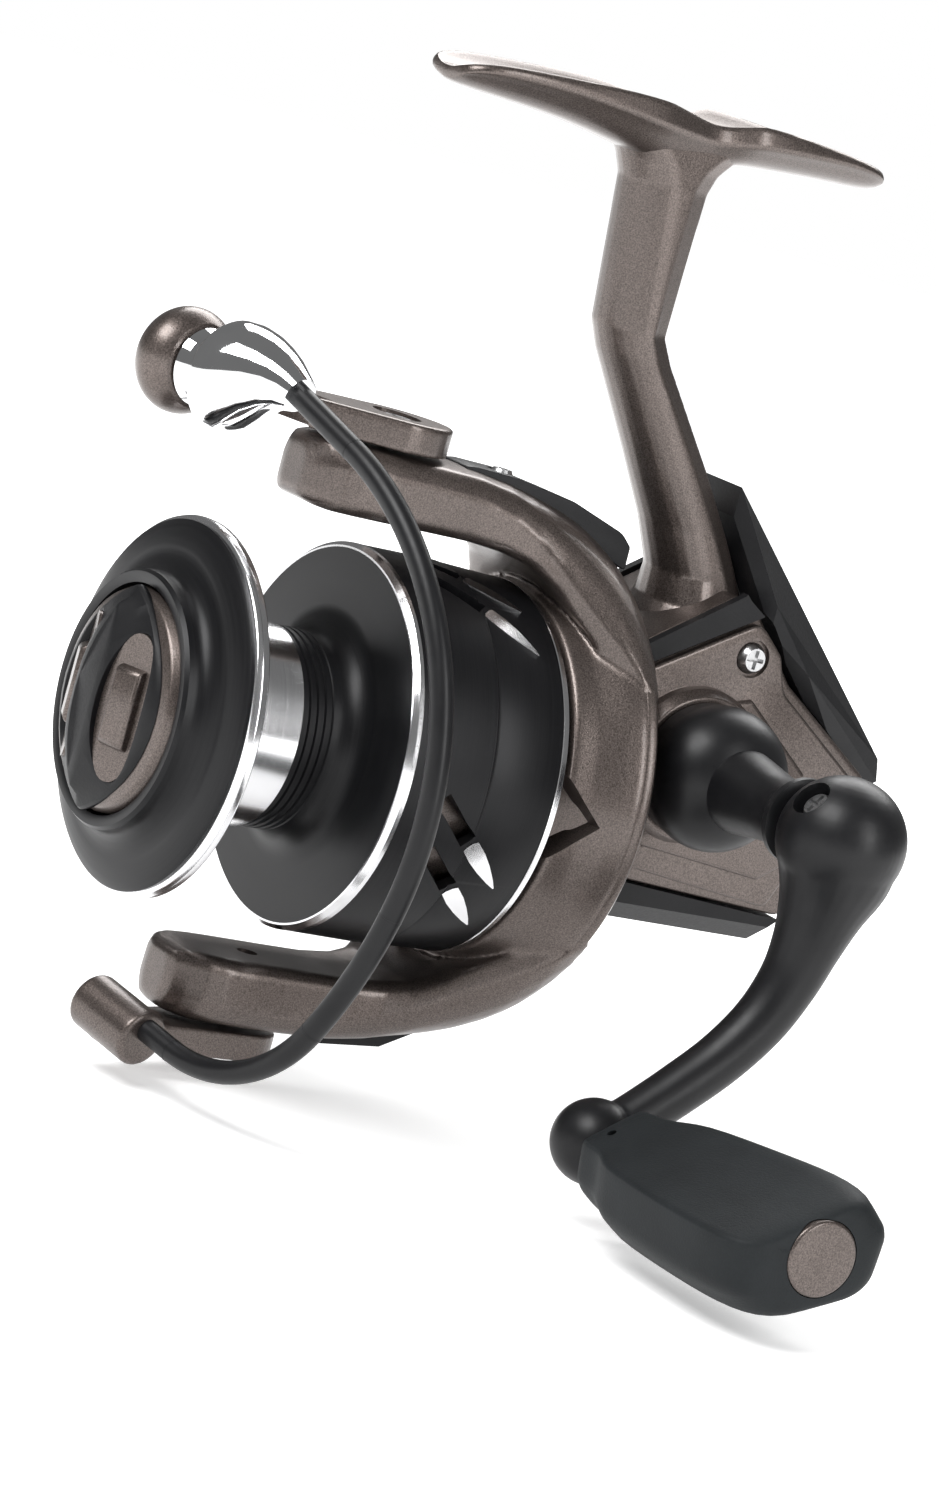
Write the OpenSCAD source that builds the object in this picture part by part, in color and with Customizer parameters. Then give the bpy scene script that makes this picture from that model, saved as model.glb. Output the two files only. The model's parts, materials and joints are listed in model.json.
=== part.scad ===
// Spinning reel. X points to the handle side, -Y to the rod tip, +Z up to the rod.
// The origin lies on the axis of the rod, over the middle of the reel foot.

/* [Frame] */
// Distance from the rod axis down to the main shaft axis
shaft_drop = 96.5; // [90:0.5:110]
// Radius of the rod that the foot's trough fits
rod_r = 10; // [9:0.5:11]
// Length of the foot
foot_len = 66; // [60:1:76]
// Half width of the foot
foot_half_w = 8; // [7:0.5:8.5]

/* [Spool] */
// Radius of the polished lip ring
lip_r = 24.4; // [23.6:0.1:25.4]
// Radius of the line arbor
arbor_r = 13.2; // [12.8:0.2:14.2]
// Radius of the spool's rear flange and skirt
skirt_r = 25.1; // [24.6:0.1:25.6]
// Y of the front flange's rim
spool_front = -49.8; // [-51:0.1:-49]
// Y of the rear flange's front face
flange_y = -26.4; // [-27:0.1:-26]
// Y of the skirt's rear edge
skirt_end = -2.8; // [-3.2:0.1:-2.4]
// Wall of the skirt
skirt_wall = 1.5; // [1.2:0.1:1.8]
// Pairs of slots round the skirt
slot_pairs = 4; // [3:1:5]

/* [Rotor] */
// Radius of the rotor's rear rim
rim_r = 28; // [27:0.2:29]
// Y of the rotor's rear face
rim_y = 8.6; // [8:0.1:9]
// Radius of the flat outer faces of the two arms
arm_out_r = 38.2; // [37.6:0.1:39]
// Radius of the inner faces of the two arms
arm_in_r = 29.2; // [28.6:0.1:30]
// Half width of the arms
arm_half_w = 8.4; // [7.8:0.1:9]
// Y of the bail's pivot axis
pivot_y = -26.4; // [-27.4:0.1:-25.4]

/* [Drive] */
// Y of the handle's axis
crank_y = 22.7; // [22:0.1:23.4]
// Height of the handle's axis above the main shaft
crank_rise = 7.5; // [7.2:0.1:7.8]
// Length of the crank from the handle's axis to the knob's axis
crank_len = 48.7; // [44:0.1:50]
// Angle of the crank forward from straight down
crank_swing = 28.8; // [20:0.1:35]
// X of the crank's plane
crank_x = 49.5; // [49:0.1:52]
// Radius of the main shaft
shaft_r = 2; // [1.8:0.1:2.2]
// Radius of the drive shaft
drive_r = 3.5; // [3.2:0.1:3.7]
// Throw of the eccentric pin, half of the spool's stroke
throw = 6.75; // [6:0.05:6.9]
// Radius of the eccentric pin
throw_pin_r = 1.4; // [1.2:0.1:1.6]
// Teeth on the drive gear
drive_teeth = 36; // [30:1:40]
// Teeth on the pinion
pinion_teeth = 7; // [6:1:8]

/* [Housing] */
// Half thickness of the gear case
case_half = 10.6; // [10.4:0.1:11]
// Wall of the gear case
case_wall = 1.8; // [1.5:0.1:2]
// Height of the side cover's raised panel above the gear case's joint
cover_rise = 2.8; // [2.4:0.1:3.4]

/* [Fits] */
// Radial clearance of running fits
fit = 0.05; // [0.03:0.01:0.08]
// Gap between neighbouring pieces
gap = 0.3; // [0.2:0.05:0.4]

/* [Hidden] */
$fn = 64;
bronze = [0.42, 0.38, 0.36];
black = [0.07, 0.07, 0.075];
satin = [0.11, 0.11, 0.12];
rubber = [0.13, 0.14, 0.15];
silver = [0.82, 0.83, 0.85];
steel = [0.62, 0.63, 0.65];
brass = [0.75, 0.62, 0.32];
shaft_z = -shaft_drop;
// Offset of the gear case from its standard place under the foot, and an outline hung by it
hang = 96.5 - shaft_drop;
function hung(points) = [for (p = points) [p[0], p[1] + hang]];
crank_z = shaft_z + crank_rise;
osc_y = 34.4;
osc_z = shaft_z + 2;
wire_r = 1.5;
wire_turn = 15;
wire_y = -50;
inner_skirt_r = skirt_r - skirt_wall;
cup_r = inner_skirt_r - 1.4;
cover_x = case_half + cover_rise;
knob_y = crank_y - crank_len * sin(crank_swing);
knob_z = crank_z - crank_len * cos(crank_swing);
knob_tip_x = 97;
fold_tilt = 53.13;
bail_top_z = shaft_z + arm_out_r + gap;
bail_low_z = shaft_z - arm_out_r - gap;
roller_x = -7.4;
roller_y = -51.9;
roller_z = shaft_z + arm_out_r + 4;

// Gear case outline in the YZ plane, from the front top corner clockwise
case_outline = hung([[10.4, -76], [24.8, -66.2], [29, -68.4], [36.5, -76.5], [53, -87], [45.5, -107.2],
                [18, -105.8], [10.4, -106.2]]);
cover_outline = hung([[11.6, -78.6], [28.2, -68.9], [32.6, -72.7], [34.6, -77.4], [49.4, -87], [41.2, -106],
                 [18.4, -103.8], [11.6, -104.2]]);
cover_raised = hung([[12.6, -84.2], [29.2, -80.2], [43.2, -88.4], [38.2, -101.6], [18.8, -99.6], [12.6, -99.8]]);

// Bar round the main shaft's axis, from one Y to another
module shaft_bar(r, y0, y1) {
    translate([0, y0, shaft_z]) rotate([-90, 0, 0]) cylinder(h = y1 - y0, r = r);
}
// Bar along X through the point (y, z)
module cross_bar(r, x0, x1, y, z) {
    translate([x0, y, z]) rotate([0, 90, 0]) cylinder(h = x1 - x0, r = r);
}
// Bar along Z through the point (x, y)
module post_bar(r, z0, z1, x, y) {
    translate([x, y, z0]) cylinder(h = z1 - z0, r = r);
}
// Ring round the main shaft's axis
module shaft_ring(r_out, r_in, y0, y1) {
    difference() {
        shaft_bar(r_out, y0, y1);
        shaft_bar(r_in, y0 - 1, y1 + 1);
    }
}
// Solid turned round the main shaft's axis from points [radius, y]
module turned(points) {
    translate([0, 0, shaft_z]) rotate([-90, 0, 0]) rotate_extrude() polygon(points);
}
// Plate with an outline in the YZ plane, from one X to another
module side_plate(outline, x0, x1) {
    translate([x0, 0, 0]) rotate([90, 0, 90]) linear_extrude(x1 - x0) polygon(outline);
}
// Screw along +Z with a pan head, its tip at the origin
module screw(len, r, head_r, head_h) {
    difference() {
        union() {
            cylinder(h = len, r = r);
            translate([0, 0, len]) cylinder(h = head_h, r1 = head_r, r2 = head_r * 0.72);
        }
        for (a = [0, 90]) {
            rotate([0, 0, a]) translate([-head_r * 0.6, -head_r * 0.13, len + head_h * 0.35])
                cube([head_r * 1.2, head_r * 0.26, head_h]);
        }
    }
}

/* Housing: the fixed body with its stem and foot */
cover_screw_at = hung([[28.2, -73.8], [47.6, -89], [14.6, -101.6]]);
// X where each screw's boss begins
boss_from = [-case_half, -case_half, 4.2];
stem_r = 5.4;
// Slice of the stem: a round front with a flat land at the back
module stem_slice(y_front, y_back, z, half) {
    translate([0, y_front + half, z]) cylinder(h = 0.6, r = half, $fn = 32);
    translate([-half * 0.92, y_back - 1.2, z]) cube([half * 1.84, 1.2, 0.6]);
}
// One wing of the foot, from its root to its tip
module foot_wing(root_y, tip_y) hull() {
    translate([0, root_y, -12]) rotate([90, 0, 0]) cylinder(h = 0.6, r = 4, $fn = 32);
    translate([-foot_half_w, root_y - 0.3, -9]) cube([foot_half_w * 2, 0.6, 3.4]);
    translate([0, tip_y, -9.4]) cylinder(h = 3.8, r = foot_half_w - 1, $fn = 32);
    translate([0, tip_y, -11.6]) cylinder(h = 3, r = foot_half_w - 4, $fn = 32);
}
module reel_body() color(bronze) difference() {
    union() {
        foot_wing(-6, -foot_len / 2 + 7);
        foot_wing(14, foot_len / 2 - 7);
        hull() {
            translate([0, 15, -12.4]) rotate([90, 0, 0]) cylinder(h = 21.6, r = 3.4, $fn = 32);
            translate([-6.4, -4.4, -9.4]) cube([12.8, 16.8, 1.8]);
            stem_slice(-3.2, 6.9, -17.5, stem_r);
        }
        hull() {
            stem_slice(-3.2, 6.9, -17.5, stem_r);
            stem_slice(-0.8, 7.2, -37.4 + hang / 2, stem_r);
        }
        hull() {
            stem_slice(-0.8, 7.2, -37.4 + hang / 2, stem_r);
            stem_slice(17.6, 28.6, -68.5 + hang, stem_r + 1.2);
        }
        side_plate(case_outline, -case_half, case_half);
        hull() {
            side_plate(cover_outline, -case_half - 1, -case_half + 0.5);
            side_plate(cover_raised, -cover_x + 0.2, -case_half);
        }
        shaft_bar(14.5, -12.2, 11);
    }
    // seat for the rod
    translate([0, -60, 0]) rotate([-90, 0, 0]) cylinder(h = 120, r = rod_r, $fn = 128);
    // gear chamber, open on the handle side
    difference() {
        side_plate(hung([[12.4, -79], [25.4, -70.2], [28.4, -71.4], [35.4, -77.8], [50.6, -87.5], [45, -105.2],
                    [12.4, -104.2]]), -case_half + case_wall, case_half + 1);
        for (i = [0:2]) cross_bar(2.6, boss_from[i], case_half - 0.2, cover_screw_at[i][0], cover_screw_at[i][1]);
    }
    for (s = cover_screw_at) cross_bar(1, case_half - 7.4, case_half + 1, s[0], s[1]);
    // clutch chamber, bearing seat and pinion bore
    shaft_bar(12 + fit, -13, -1.6);
    shaft_bar(9, -2, 2);
    shaft_bar(8 + fit, 1.6, 7);
    shaft_bar(4.2, 6, 13);
    for (a = [30, 150, 270]) {
        translate([13.2 * cos(a), -12.3, shaft_z + 13.2 * sin(a)]) rotate([-90, 0, 0])
            cylinder(h = 8, r = 0.8);
    }
    // seat of the handle-side bearing on the far wall, and the bore for the cap's thread
    cross_bar(6 + fit, -case_half + 0.1, -case_half + 4, crank_y, crank_z);
    cross_bar(5.2, -cover_x - 1, -case_half + 0.5, crank_y, crank_z);
    // post hole of the crosswind gear
    cross_bar(1.5 + fit, -case_half - 0.6, 0, osc_y, osc_z);
    // bores of the slider's rail
    translate([0, 10.8, rail_z]) rotate([-90, 0, 0]) cylinder(h = 35.9, r = rail_r + 0.02);
    // screws of the guards
    at_guard_screw() translate([0, 0, -4.5]) cylinder(h = 6, r = 0.9);
    for (y = [22, 40]) post_bar(0.9, -112 + hang, -105.3 + hang, 0, y);
}
rail_z = shaft_z - 5.7;
rail_r = 1;
module at_guard_screw() translate([0, 26.3, -62 + hang]) rotate([-55.5, 0, 0]) children();
module side_cover() color(bronze) difference() {
    union() {
        hull() {
            side_plate(cover_outline, case_half, case_half + 1);
            side_plate(cover_raised, case_half + 1, cover_x);
        }
        cross_bar(9.6, case_half, cover_x + 1.6, crank_y, crank_z);
        cross_bar(7.8, case_half - 3.4, case_half + 1, crank_y, crank_z);
    }
    cross_bar(6 + fit, case_half - 4, case_half + 0.9, crank_y, crank_z);
    cross_bar(drive_r + 1.4, case_half, cover_x + 2, crank_y, crank_z);
    for (s = cover_screw_at) {
        cross_bar(1.3, case_half - 1, cover_x + 1, s[0], s[1]);
        cross_bar(2.6, case_half + 1.2, cover_x + 2, s[0], s[1]);
    }
}
module rear_guard() color(satin) difference() {
    hull() {
        side_plate(hung([[24.4, -53], [26.8, -55.4], [26.8, -60], [24.4, -57]]), -4.6, 4.6);
        side_plate(hung([[56.6, -84.4], [57.4, -87.4], [53.6, -90], [50, -84]]), -6.4, 6.4);
        side_plate(hung([[30.4, -66.6], [38.2, -74.6], [33, -70], [30.4, -70]]), -11.4, 11.4);
    }
    side_plate(hung([[0, -50.3], [10.9, -50.3], [30.9, -69.2], [29.3, -68.3], [30.9, -69.2], [36.9, -76.3],
                [53.4, -86.9], [45, -110], [0, -110]]), -14, 14);
    hull() {
        stem_slice(-0.8, 7.2 + gap, -37.4 + hang / 2, stem_r + 0.1);
        stem_slice(17.6, 28.6 + gap, -68.5 + hang, stem_r + 1.3);
    }
    at_guard_screw() translate([0, 0, -1]) cylinder(h = 12, r = 1.1);
    at_guard_screw() translate([0, 0, 1.8]) cylinder(h = 12, r = 2);
}
module bottom_guard() color(satin) difference() {
    hull() {
        side_plate(hung([[11.4, -106.5], [18, -106.1], [45.4, -107.6], [44, -111.6], [27, -111], [14, -111.8]]),
                   -6.4, 6.4);
        side_plate(hung([[11.4, -106.5], [18, -106.1], [45.4, -107.6], [44, -108.8], [27, -107.8], [14, -109]]),
                   -10.4, 10.4);
    }
    for (y = [22, 40]) {
        post_bar(1.1, -114 + hang, -100 + hang, 0, y);
        post_bar(2, -114 + hang, -109.4 + hang, 0, y);
    }
}
module trim_side() side_plate(hung([[11.4, -75], [24.6, -66], [24.8, -65.7], [25.6, -66.4], [28.4, -68.1],
                               [11.4, -77.9]]), case_half + gap, case_half + 1.6);
module top_trim() color(satin) {
    trim_side();
    mirror([1, 0, 0]) trim_side();
}
module left_cap() color(satin) difference() {
    union() {
        cross_bar(8.6, -cover_x - 2.4, -cover_x + 0.1, crank_y, crank_z);
        cross_bar(5.1, -cover_x, -case_half - 0.2, crank_y, crank_z);
    }
    cross_bar(6.6, -cover_x - 3, -cover_x - 1.8, crank_y, crank_z);
}
module cover_screws() color(steel) for (s = cover_screw_at) {
    translate([case_half - 7, s[0], s[1]]) rotate([0, 90, 0]) screw(8.3, 0.95, 2.1, 1.1);
}
module guard_screws() color(steel) {
    for (y = [22, 40]) translate([0, y, -105.5 + hang]) rotate([180, 0, 0]) screw(3.9, 0.85, 1.8, 1);
    at_guard_screw() translate([0, 0, -4.4]) screw(6.3, 0.85, 1.7, 0.9);
}
// Shielded ball bearing, along +Z
module ball_bearing(r_out, r_in, width) difference() {
    cylinder(h = width, r = r_out);
    translate([0, 0, -1]) cylinder(h = width + 2, r = r_in);
    for (z = [-0.7, width - 0.3]) translate([0, 0, z]) difference() {
        cylinder(h = 1, r = r_out - 0.9);
        cylinder(h = 1, r = r_in + 0.9);
    }
}
module drive_bearings() color(steel) {
    for (x = [-case_half + 0.2, case_half - 2.4])
        translate([x, crank_y, crank_z]) rotate([0, 90, 0]) ball_bearing(6, drive_r + fit, 2.5);
}
module pinion_bearing() color(steel)
    translate([0, 2, shaft_z]) rotate([-90, 0, 0]) ball_bearing(8, 3.4 + fit, 5);
// One-way clutch: cage ring with ramps, and rollers that wedge against the sleeve
module clutch_ring() color(steel) difference() {
    shaft_ring(12, 6.1, -11.8, -3);
    for (a = [0:60:300]) {
        translate([7.6 * cos(a), -13, shaft_z + 7.6 * sin(a)]) rotate([-90, 0, 0]) cylinder(h = 12, r = 1.6);
    }
}
module clutch_rollers() color(silver) for (a = [0:60:300]) {
    translate([7.4 * cos(a), -11.4, shaft_z + 7.4 * sin(a)]) rotate([-90, 0, 0]) cylinder(h = 8, r = 1.25);
}
module clutch_plate() color(satin) difference() {
    shaft_ring(14.2, 6.4, -13.3, -12.2);
    for (a = [30, 150, 270]) {
        translate([13.2 * cos(a), -14, shaft_z + 13.2 * sin(a)]) rotate([-90, 0, 0]) cylinder(h = 3, r = 0.8);
    }
}
module clutch_screws() color(steel) for (a = [30, 150, 270]) {
    translate([13.2 * cos(a), -7, shaft_z + 13.2 * sin(a)]) rotate([90, 0, 0]) screw(6.3, 0.7, 1.2, 0.6);
}
module slider_rail() color(silver)
    translate([0, 10.9, rail_z]) rotate([-90, 0, 0]) cylinder(h = 35.7, r = rail_r);

/* Drive: handle, drive gear and crosswind gear */
gear_r = 9.9;
module drive_gear() color(steel) {
    difference() {
        union() {
            cross_bar(drive_r, -case_half + 0.4, crank_x - 12, crank_y, crank_z);
            cross_bar(gear_r, 4.6, 7, crank_y, crank_z);
            for (i = [0:drive_teeth - 1]) {
                translate([3.9, crank_y, crank_z]) rotate([i * 360 / drive_teeth, 0, 0])
                    translate([0, gear_r - 2, -0.35]) cube([0.9, 1.8, 0.7]);
            }
            for (i = [0:11]) {
                translate([-5.6, crank_y, crank_z]) rotate([i * 30, 0, 0])
                    translate([0, drive_r - 0.4, -0.4]) cube([2.6, 1.1, 0.8]);
            }
        }
        for (i = [0:5]) {
            translate([4, crank_y, crank_z]) rotate([i * 60 + 30, 0, 0])
                translate([0, 5.8, 0]) rotate([0, 90, 0]) cylinder(h = 4, r = 1.2);
        }
    }
}
module at_hub() translate([crank_x, crank_y, crank_z]) rotate([fold_tilt, 0, 0]) children();
module handle_boss() color(black) difference() {
    union() {
        translate([0, crank_y, crank_z]) rotate([0, 90, 0]) rotate_extrude() polygon(concat(
            [[0, cover_x + 2.1], [9.2, cover_x + 2.1]],
            [for (a = [-20:10:60]) [9.5 * cos(a), cover_x + 6.2 + 8.4 * sin(a)]],
            [for (a = [0:15:60]) [4.4 + 1.2 * (1 - sin(a + 30)), crank_x - 20.6 + a * 0.09]],
            [[4.4, crank_x - 14], [5.4, crank_x - 9.6], [5.4, crank_x - 8.6], [0, crank_x - 8.6]]));
        at_hub() {
            translate([-9, -2.6, -2]) cube([9, 5.2, 4]);
            translate([0, 0, -2]) cylinder(h = 4, r = 4.4);
        }
    }
    cross_bar(drive_r + 0.02, cover_x, crank_x - 11.9, crank_y, crank_z);
    at_hub() cylinder(h = 20, r = 1.5 + fit, center = true);
}
module crosswind_gear() color(brass) {
    union() {
        for (i = [0:23]) {
            translate([-case_half + 3, osc_y, osc_z]) rotate([i * 15 + 7.5, 0, 0])
                translate([0, 7.3, -0.45]) cube([1.8, 1, 0.9]);
        }
        cross_bar(7.5, -case_half + 3, -case_half + 4.8, osc_y, osc_z);
        cross_bar(1.5, -case_half - 0.4, -case_half + 3.4, osc_y, osc_z);
        cross_bar(throw_pin_r, -case_half + 4.4, -4.7, osc_y + throw, osc_z);
    }
}

/* Crank and knob */
module crank_bar(from, to, r_from, r_to) hull() {
    translate(from) sphere(r = r_from, $fn = 32);
    translate(to) sphere(r = r_to, $fn = 32);
}
// Point on the crank: along its plane, forward and down from the handle's axis
function crank_at(forward, down, out = 0) = [crank_x + out, crank_y - forward, crank_z - down];
knob_forward = crank_y - knob_y;
knob_down = crank_z - knob_z;
module handle_arm() color(black) difference() {
    union() {
        hull() {
            translate(crank_at(0, 0)) sphere(r = 7.9, $fn = 32);
            translate(crank_at(-1.6, 10)) sphere(r = 5, $fn = 32);
        }
        crank_bar(crank_at(-1.6, 10), crank_at(-0.8, 21), 5, 3.9);
        crank_bar(crank_at(-0.8, 21), crank_at(6, knob_down * 0.70), 3.9, 3.7);
        crank_bar(crank_at(6, knob_down * 0.70), crank_at(knob_forward, knob_down), 3.7, 3.2);
        translate(crank_at(knob_forward, knob_down)) sphere(r = 5.3);
    }
    at_hub() {
        cylinder(h = 30, r = 1.5 + fit, center = true);
        translate([0, 0, 5.6]) cylinder(h = 9, r = 2.6);
        translate([0, 0, -2.2]) cylinder(h = 4.4, r = 4.8);
        translate([0, 0, -2.2]) linear_extrude(4.4) polygon([[0, 3.1], [-12, 3.1], [-12, -10.4], [0, -3.1]]);
    }
    cross_bar(1.7, crank_x - 2, crank_x + 8, knob_y, knob_z);
}
module fold_screw() color(steel) at_hub() translate([0, 0, -6.4]) screw(12.2, 1.5, 2.3, 1);
module knob_post() color(steel) {
    cross_bar(1.7, crank_x - 1.8, knob_tip_x - 12, knob_y, knob_z);
    cross_bar(2.6, knob_tip_x - 12, knob_tip_x - 10.8, knob_y, knob_z);
}
knob_roll = 20;
module knob_grip() color(rubber) difference() {
    translate([0, knob_y, knob_z]) rotate([knob_roll, 0, 0]) union() {
        translate([crank_x + 5.6, 0, 0]) rotate([0, 90, 0]) cylinder(h = 8, r1 = 6.4, r2 = 6.8);
        hull() {
            translate([crank_x + 9, 0, 0]) rotate([0, 90, 0]) cylinder(h = 1, r = 6.4, $fn = 32);
            for (s = [-1, 1]) {
                translate([knob_tip_x - 15, s * 6.4, 0]) scale([1.2, 1, 1]) sphere(r = 7.4, $fn = 32);
            }
            translate([knob_tip_x - 1.6, 0, 0]) rotate([0, 90, 0]) cylinder(h = 1, r = 6.6, $fn = 32);
        }
    }
    cross_bar(2.9, crank_x + 5, knob_tip_x - 12.6, knob_y, knob_z);
    cross_bar(4.9, knob_tip_x - 12.7, knob_tip_x, knob_y, knob_z);
}
module knob_cap() color(bronze) cross_bar(4.85, knob_tip_x - 2.6, knob_tip_x - 0.4, knob_y, knob_z);
module knob_bush() color(brass) difference() {
    cross_bar(2.85, crank_x + 6, knob_tip_x - 12.8, knob_y, knob_z);
    cross_bar(1.7 + fit, crank_x + 5, knob_tip_x - 12, knob_y, knob_z);
}

/* Rotor */
// One arm of the rotor: its side profile crossed with its plan
module rotor_arm() intersection() {
    side_plate([[-40, arm_in_r], [-40, arm_out_r], [-15, arm_out_r], [-7, arm_out_r - 1.4],
                [0, arm_out_r - 4.4], [5, arm_out_r - 8], [rim_y, rim_r - 2], [rim_y, 22], [4, 19],
                [-1.6, 19], [-3.4, arm_in_r - 0.8], [-8, arm_in_r]], -22, 22);
    union() {
        translate([0, -30.6, 0]) cylinder(h = 60, r = arm_half_w);
        linear_extrude(60) polygon([[-arm_half_w, -30.6], [-arm_half_w, -12], [-arm_half_w - 2.4, -5],
            [-arm_half_w - 5, 0], [-arm_half_w - 11, rim_y], [arm_half_w + 11, rim_y],
            [arm_half_w + 5, 0], [arm_half_w + 2.4, -5], [arm_half_w, -12], [arm_half_w, -30.6]]);
    }
}
module rotor() color(bronze) difference() {
    union() {
        // cup round the clutch, with a web for the pinion
        turned([[3.4 + fit, -20.4], [cup_r - 1.6, -20.4], [cup_r, -19], [cup_r, -2], [24.6, -1.4], [25.4, 1], [27.2, 4.4],
                [rim_r, rim_y - 1], [rim_r - 0.4, rim_y], [25.6, rim_y], [24.4, 4], [cup_r - 1.8, 0], [cup_r - 1.8, -18.4],
                [3.4 + fit, -18.4]]);
        translate([0, 0, shaft_z]) rotor_arm();
        translate([0, 0, shaft_z]) rotate([0, 180, 0]) rotor_arm();
    }
    // clear inside of the cup
    shaft_bar(cup_r - 1.8, -18.4, 0);
    turned([[0, -1], [cup_r - 1.8, -1], [24.4, 4], [25.6, rim_y + 1], [0, rim_y + 1]]);
    shaft_bar(3.4 + fit, -22, -17);
    translate([8.4, -17, shaft_z]) rotate([90, 0, 0]) cylinder(h = 5, r = 0.9);
    translate([-3.6, -15.4, shaft_z + arm_out_r - 6.6]) cube([7.2, 5, 5]);
    // room for the spool's skirt
    turned([[cup_r, -60], [28.6, -60], [28.6, -6], [25.9, -1.2], [24.8, -1.9], [cup_r, -2.4]]);
    // pivots of the bail, and pockets for the spring and the covers
    for (m = [0, 180]) translate([0, 0, shaft_z]) rotate([0, m, 0]) {
        translate([0, pivot_y, arm_in_r + 1]) cylinder(h = arm_out_r - arm_in_r + 3, r = 1.25);
        side_plate([[-16.6, arm_out_r - 3.4], [-6.2, arm_out_r - 4.8], [2.4, arm_out_r - 8],
                    [5, arm_out_r + 7], [-16.6, arm_out_r + 7]], -4.6, 4.6);
        translate([0, -9, arm_in_r - 2]) cylinder(h = arm_out_r - arm_in_r + 3, r = 0.75);
    }
}
module pinion() color(brass) difference() {
    union() {
        shaft_bar(3.4, -20.4, 9);
        shaft_bar(2.9, -24, -20.4);
        shaft_bar(2.7, 9, 18.4);
        for (i = [0:pinion_teeth - 1]) {
            translate([0, 9, shaft_z]) rotate([0, i * 360 / pinion_teeth, 0])
                translate([-0.5, 0, 2.5]) cube([1, 9.4, 1]);
        }
    }
    shaft_bar(shaft_r + fit, -26, 20);
}
module rotor_nut() color(steel) difference() {
    translate([0, -23.4, shaft_z]) rotate([-90, 0, 0]) cylinder(h = 2.9, r = 6.2, $fn = 6);
    shaft_bar(2.9 + 0.02, -26, -20);
}
module nut_screw() color(steel)
    translate([8.4, -15.4, shaft_z]) rotate([90, 0, 0]) screw(5.1, 0.88, 1.7, 0.9);
module clutch_sleeve() color(silver) shaft_ring(5.95, 3.4 + fit, -12.4, -2.4);
// Black cover let into an arm's outer face, with its screw
module cover_blank() side_plate([[-16.4, arm_out_r - 3.1], [-6.2, arm_out_r - 4.5], [2.1, arm_out_r - 7.6],
    [2.8, arm_out_r - 6], [-1, arm_out_r - 3], [-6, arm_out_r - 0.3], [-15.4, arm_out_r + 0.5],
    [-16.4, arm_out_r]], -4.35, 4.35);
module arm_cover() color(satin) translate([0, 0, shaft_z]) difference() {
    cover_blank();
    translate([0, -9, 0]) cylinder(h = 60, r = 0.85);
    translate([0, -9, arm_out_r - 0.6]) cylinder(h = 10, r = 1.9);
}
module balance_cover() color(satin) translate([0, 0, shaft_z]) rotate([0, 180, 0]) difference() {
    cover_blank();
    translate([0, -9, 0]) cylinder(h = 60, r = 0.85);
    translate([0, -9, arm_out_r - 0.6]) cylinder(h = 10, r = 1.9);
}
module cover_fixing() translate([0, -9, arm_in_r + 2]) screw(arm_out_r - 0.5 - arm_in_r - 2, 0.7, 1.7, 0.9);
module arm_cover_screw() color(steel) translate([0, 0, shaft_z]) cover_fixing();
module balance_screw() color(steel) translate([0, 0, shaft_z]) rotate([0, 180, 0]) cover_fixing();
module bail_spring() color(steel) for (i = [0:2]) {
    translate([-1.6, -12.9, shaft_z + arm_out_r - 6.2 + i * 0.75]) rotate_extrude()
        translate([1.5, 0]) circle(r = 0.3);
}
module trip_lever() color(steel) translate([1.2, -15.1, shaft_z + arm_out_r - 6.3]) cube([1.2, 4.4, 1.2]);

/* Bail */
// Wire lengths: the wire is drawn from its start along +Z, bend by bend, towards +X
module joint_band() translate([0, 0, -0.15]) cylinder(h = 0.3, r = wire_r + 0.03);
module straight(len) {
    cylinder(h = len, r = wire_r);
    translate([0, 0, len]) children();
}
module wire_step(radius, angle)
    translate([radius, 0, 0]) rotate([0, angle, 0]) translate([-radius, 0, 0]) children();
module bend(radius, angle) {
    joint_band();
    translate([radius, 0, 0]) rotate([90, 0, 180]) rotate_extrude(angle = angle)
        translate([radius, 0]) circle(r = wire_r);
    wire_step(radius, angle) {
        joint_band();
        children();
    }
}
wire_start = [11.5, 0, 43];
wire_pitch = 109.3;
module at_wire_plane() translate([0, wire_y, shaft_z]) rotate([0, 0, wire_turn]) children();
module at_wire_start() at_wire_plane() translate(wire_start) rotate([0, wire_pitch, 0]) children();
module at_wire_end() at_wire_start() translate([0, 0, 11.6]) wire_step(42.6, 85.7)
    wire_step(64, 16.6) wire_step(21.5, 68.4) children();
module bail_wire() color(satin) at_wire_start() translate([0, 0, -5]) straight(16.6) bend(42.6, 85.7)
    bend(64, 16.6) bend(21.5, 68.4) straight(11);
module roller_nose() color(silver) difference() {
    hull() {
        translate([roller_x, roller_y, roller_z]) rotate([0, 90, wire_turn])
            translate([0, 0, 6]) cylinder(h = 3, r = 6.4, $fn = 32);
        at_wire_start() translate([0, 0, -2]) cylinder(h = 2, r = 2.4, $fn = 32);
    }
    at_wire_start() translate([0, 0, -5.2]) cylinder(h = 30, r = wire_r + 0.02);
    translate([roller_x, roller_y, roller_z]) rotate([0, 90, wire_turn]) translate([0, 0, 1])
        cylinder(h = 8, r = 1.3);
}
module roller_pin() color(steel) translate([roller_x, roller_y, roller_z]) rotate([0, 90, wire_turn])
    translate([0, 0, -4]) cylinder(h = 12.6, r = 1.25);
module line_roller() color(silver) translate([roller_x, roller_y, roller_z]) rotate([0, 90, wire_turn])
    difference() {
        rotate_extrude() polygon([[1.25 + fit, 1.2], [5, 1.2], [4.6, 2.4], [3.9, 3.4], [4.6, 4.6], [5.6, 5.6],
                                  [1.25 + fit, 5.6]]);
    }
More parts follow.
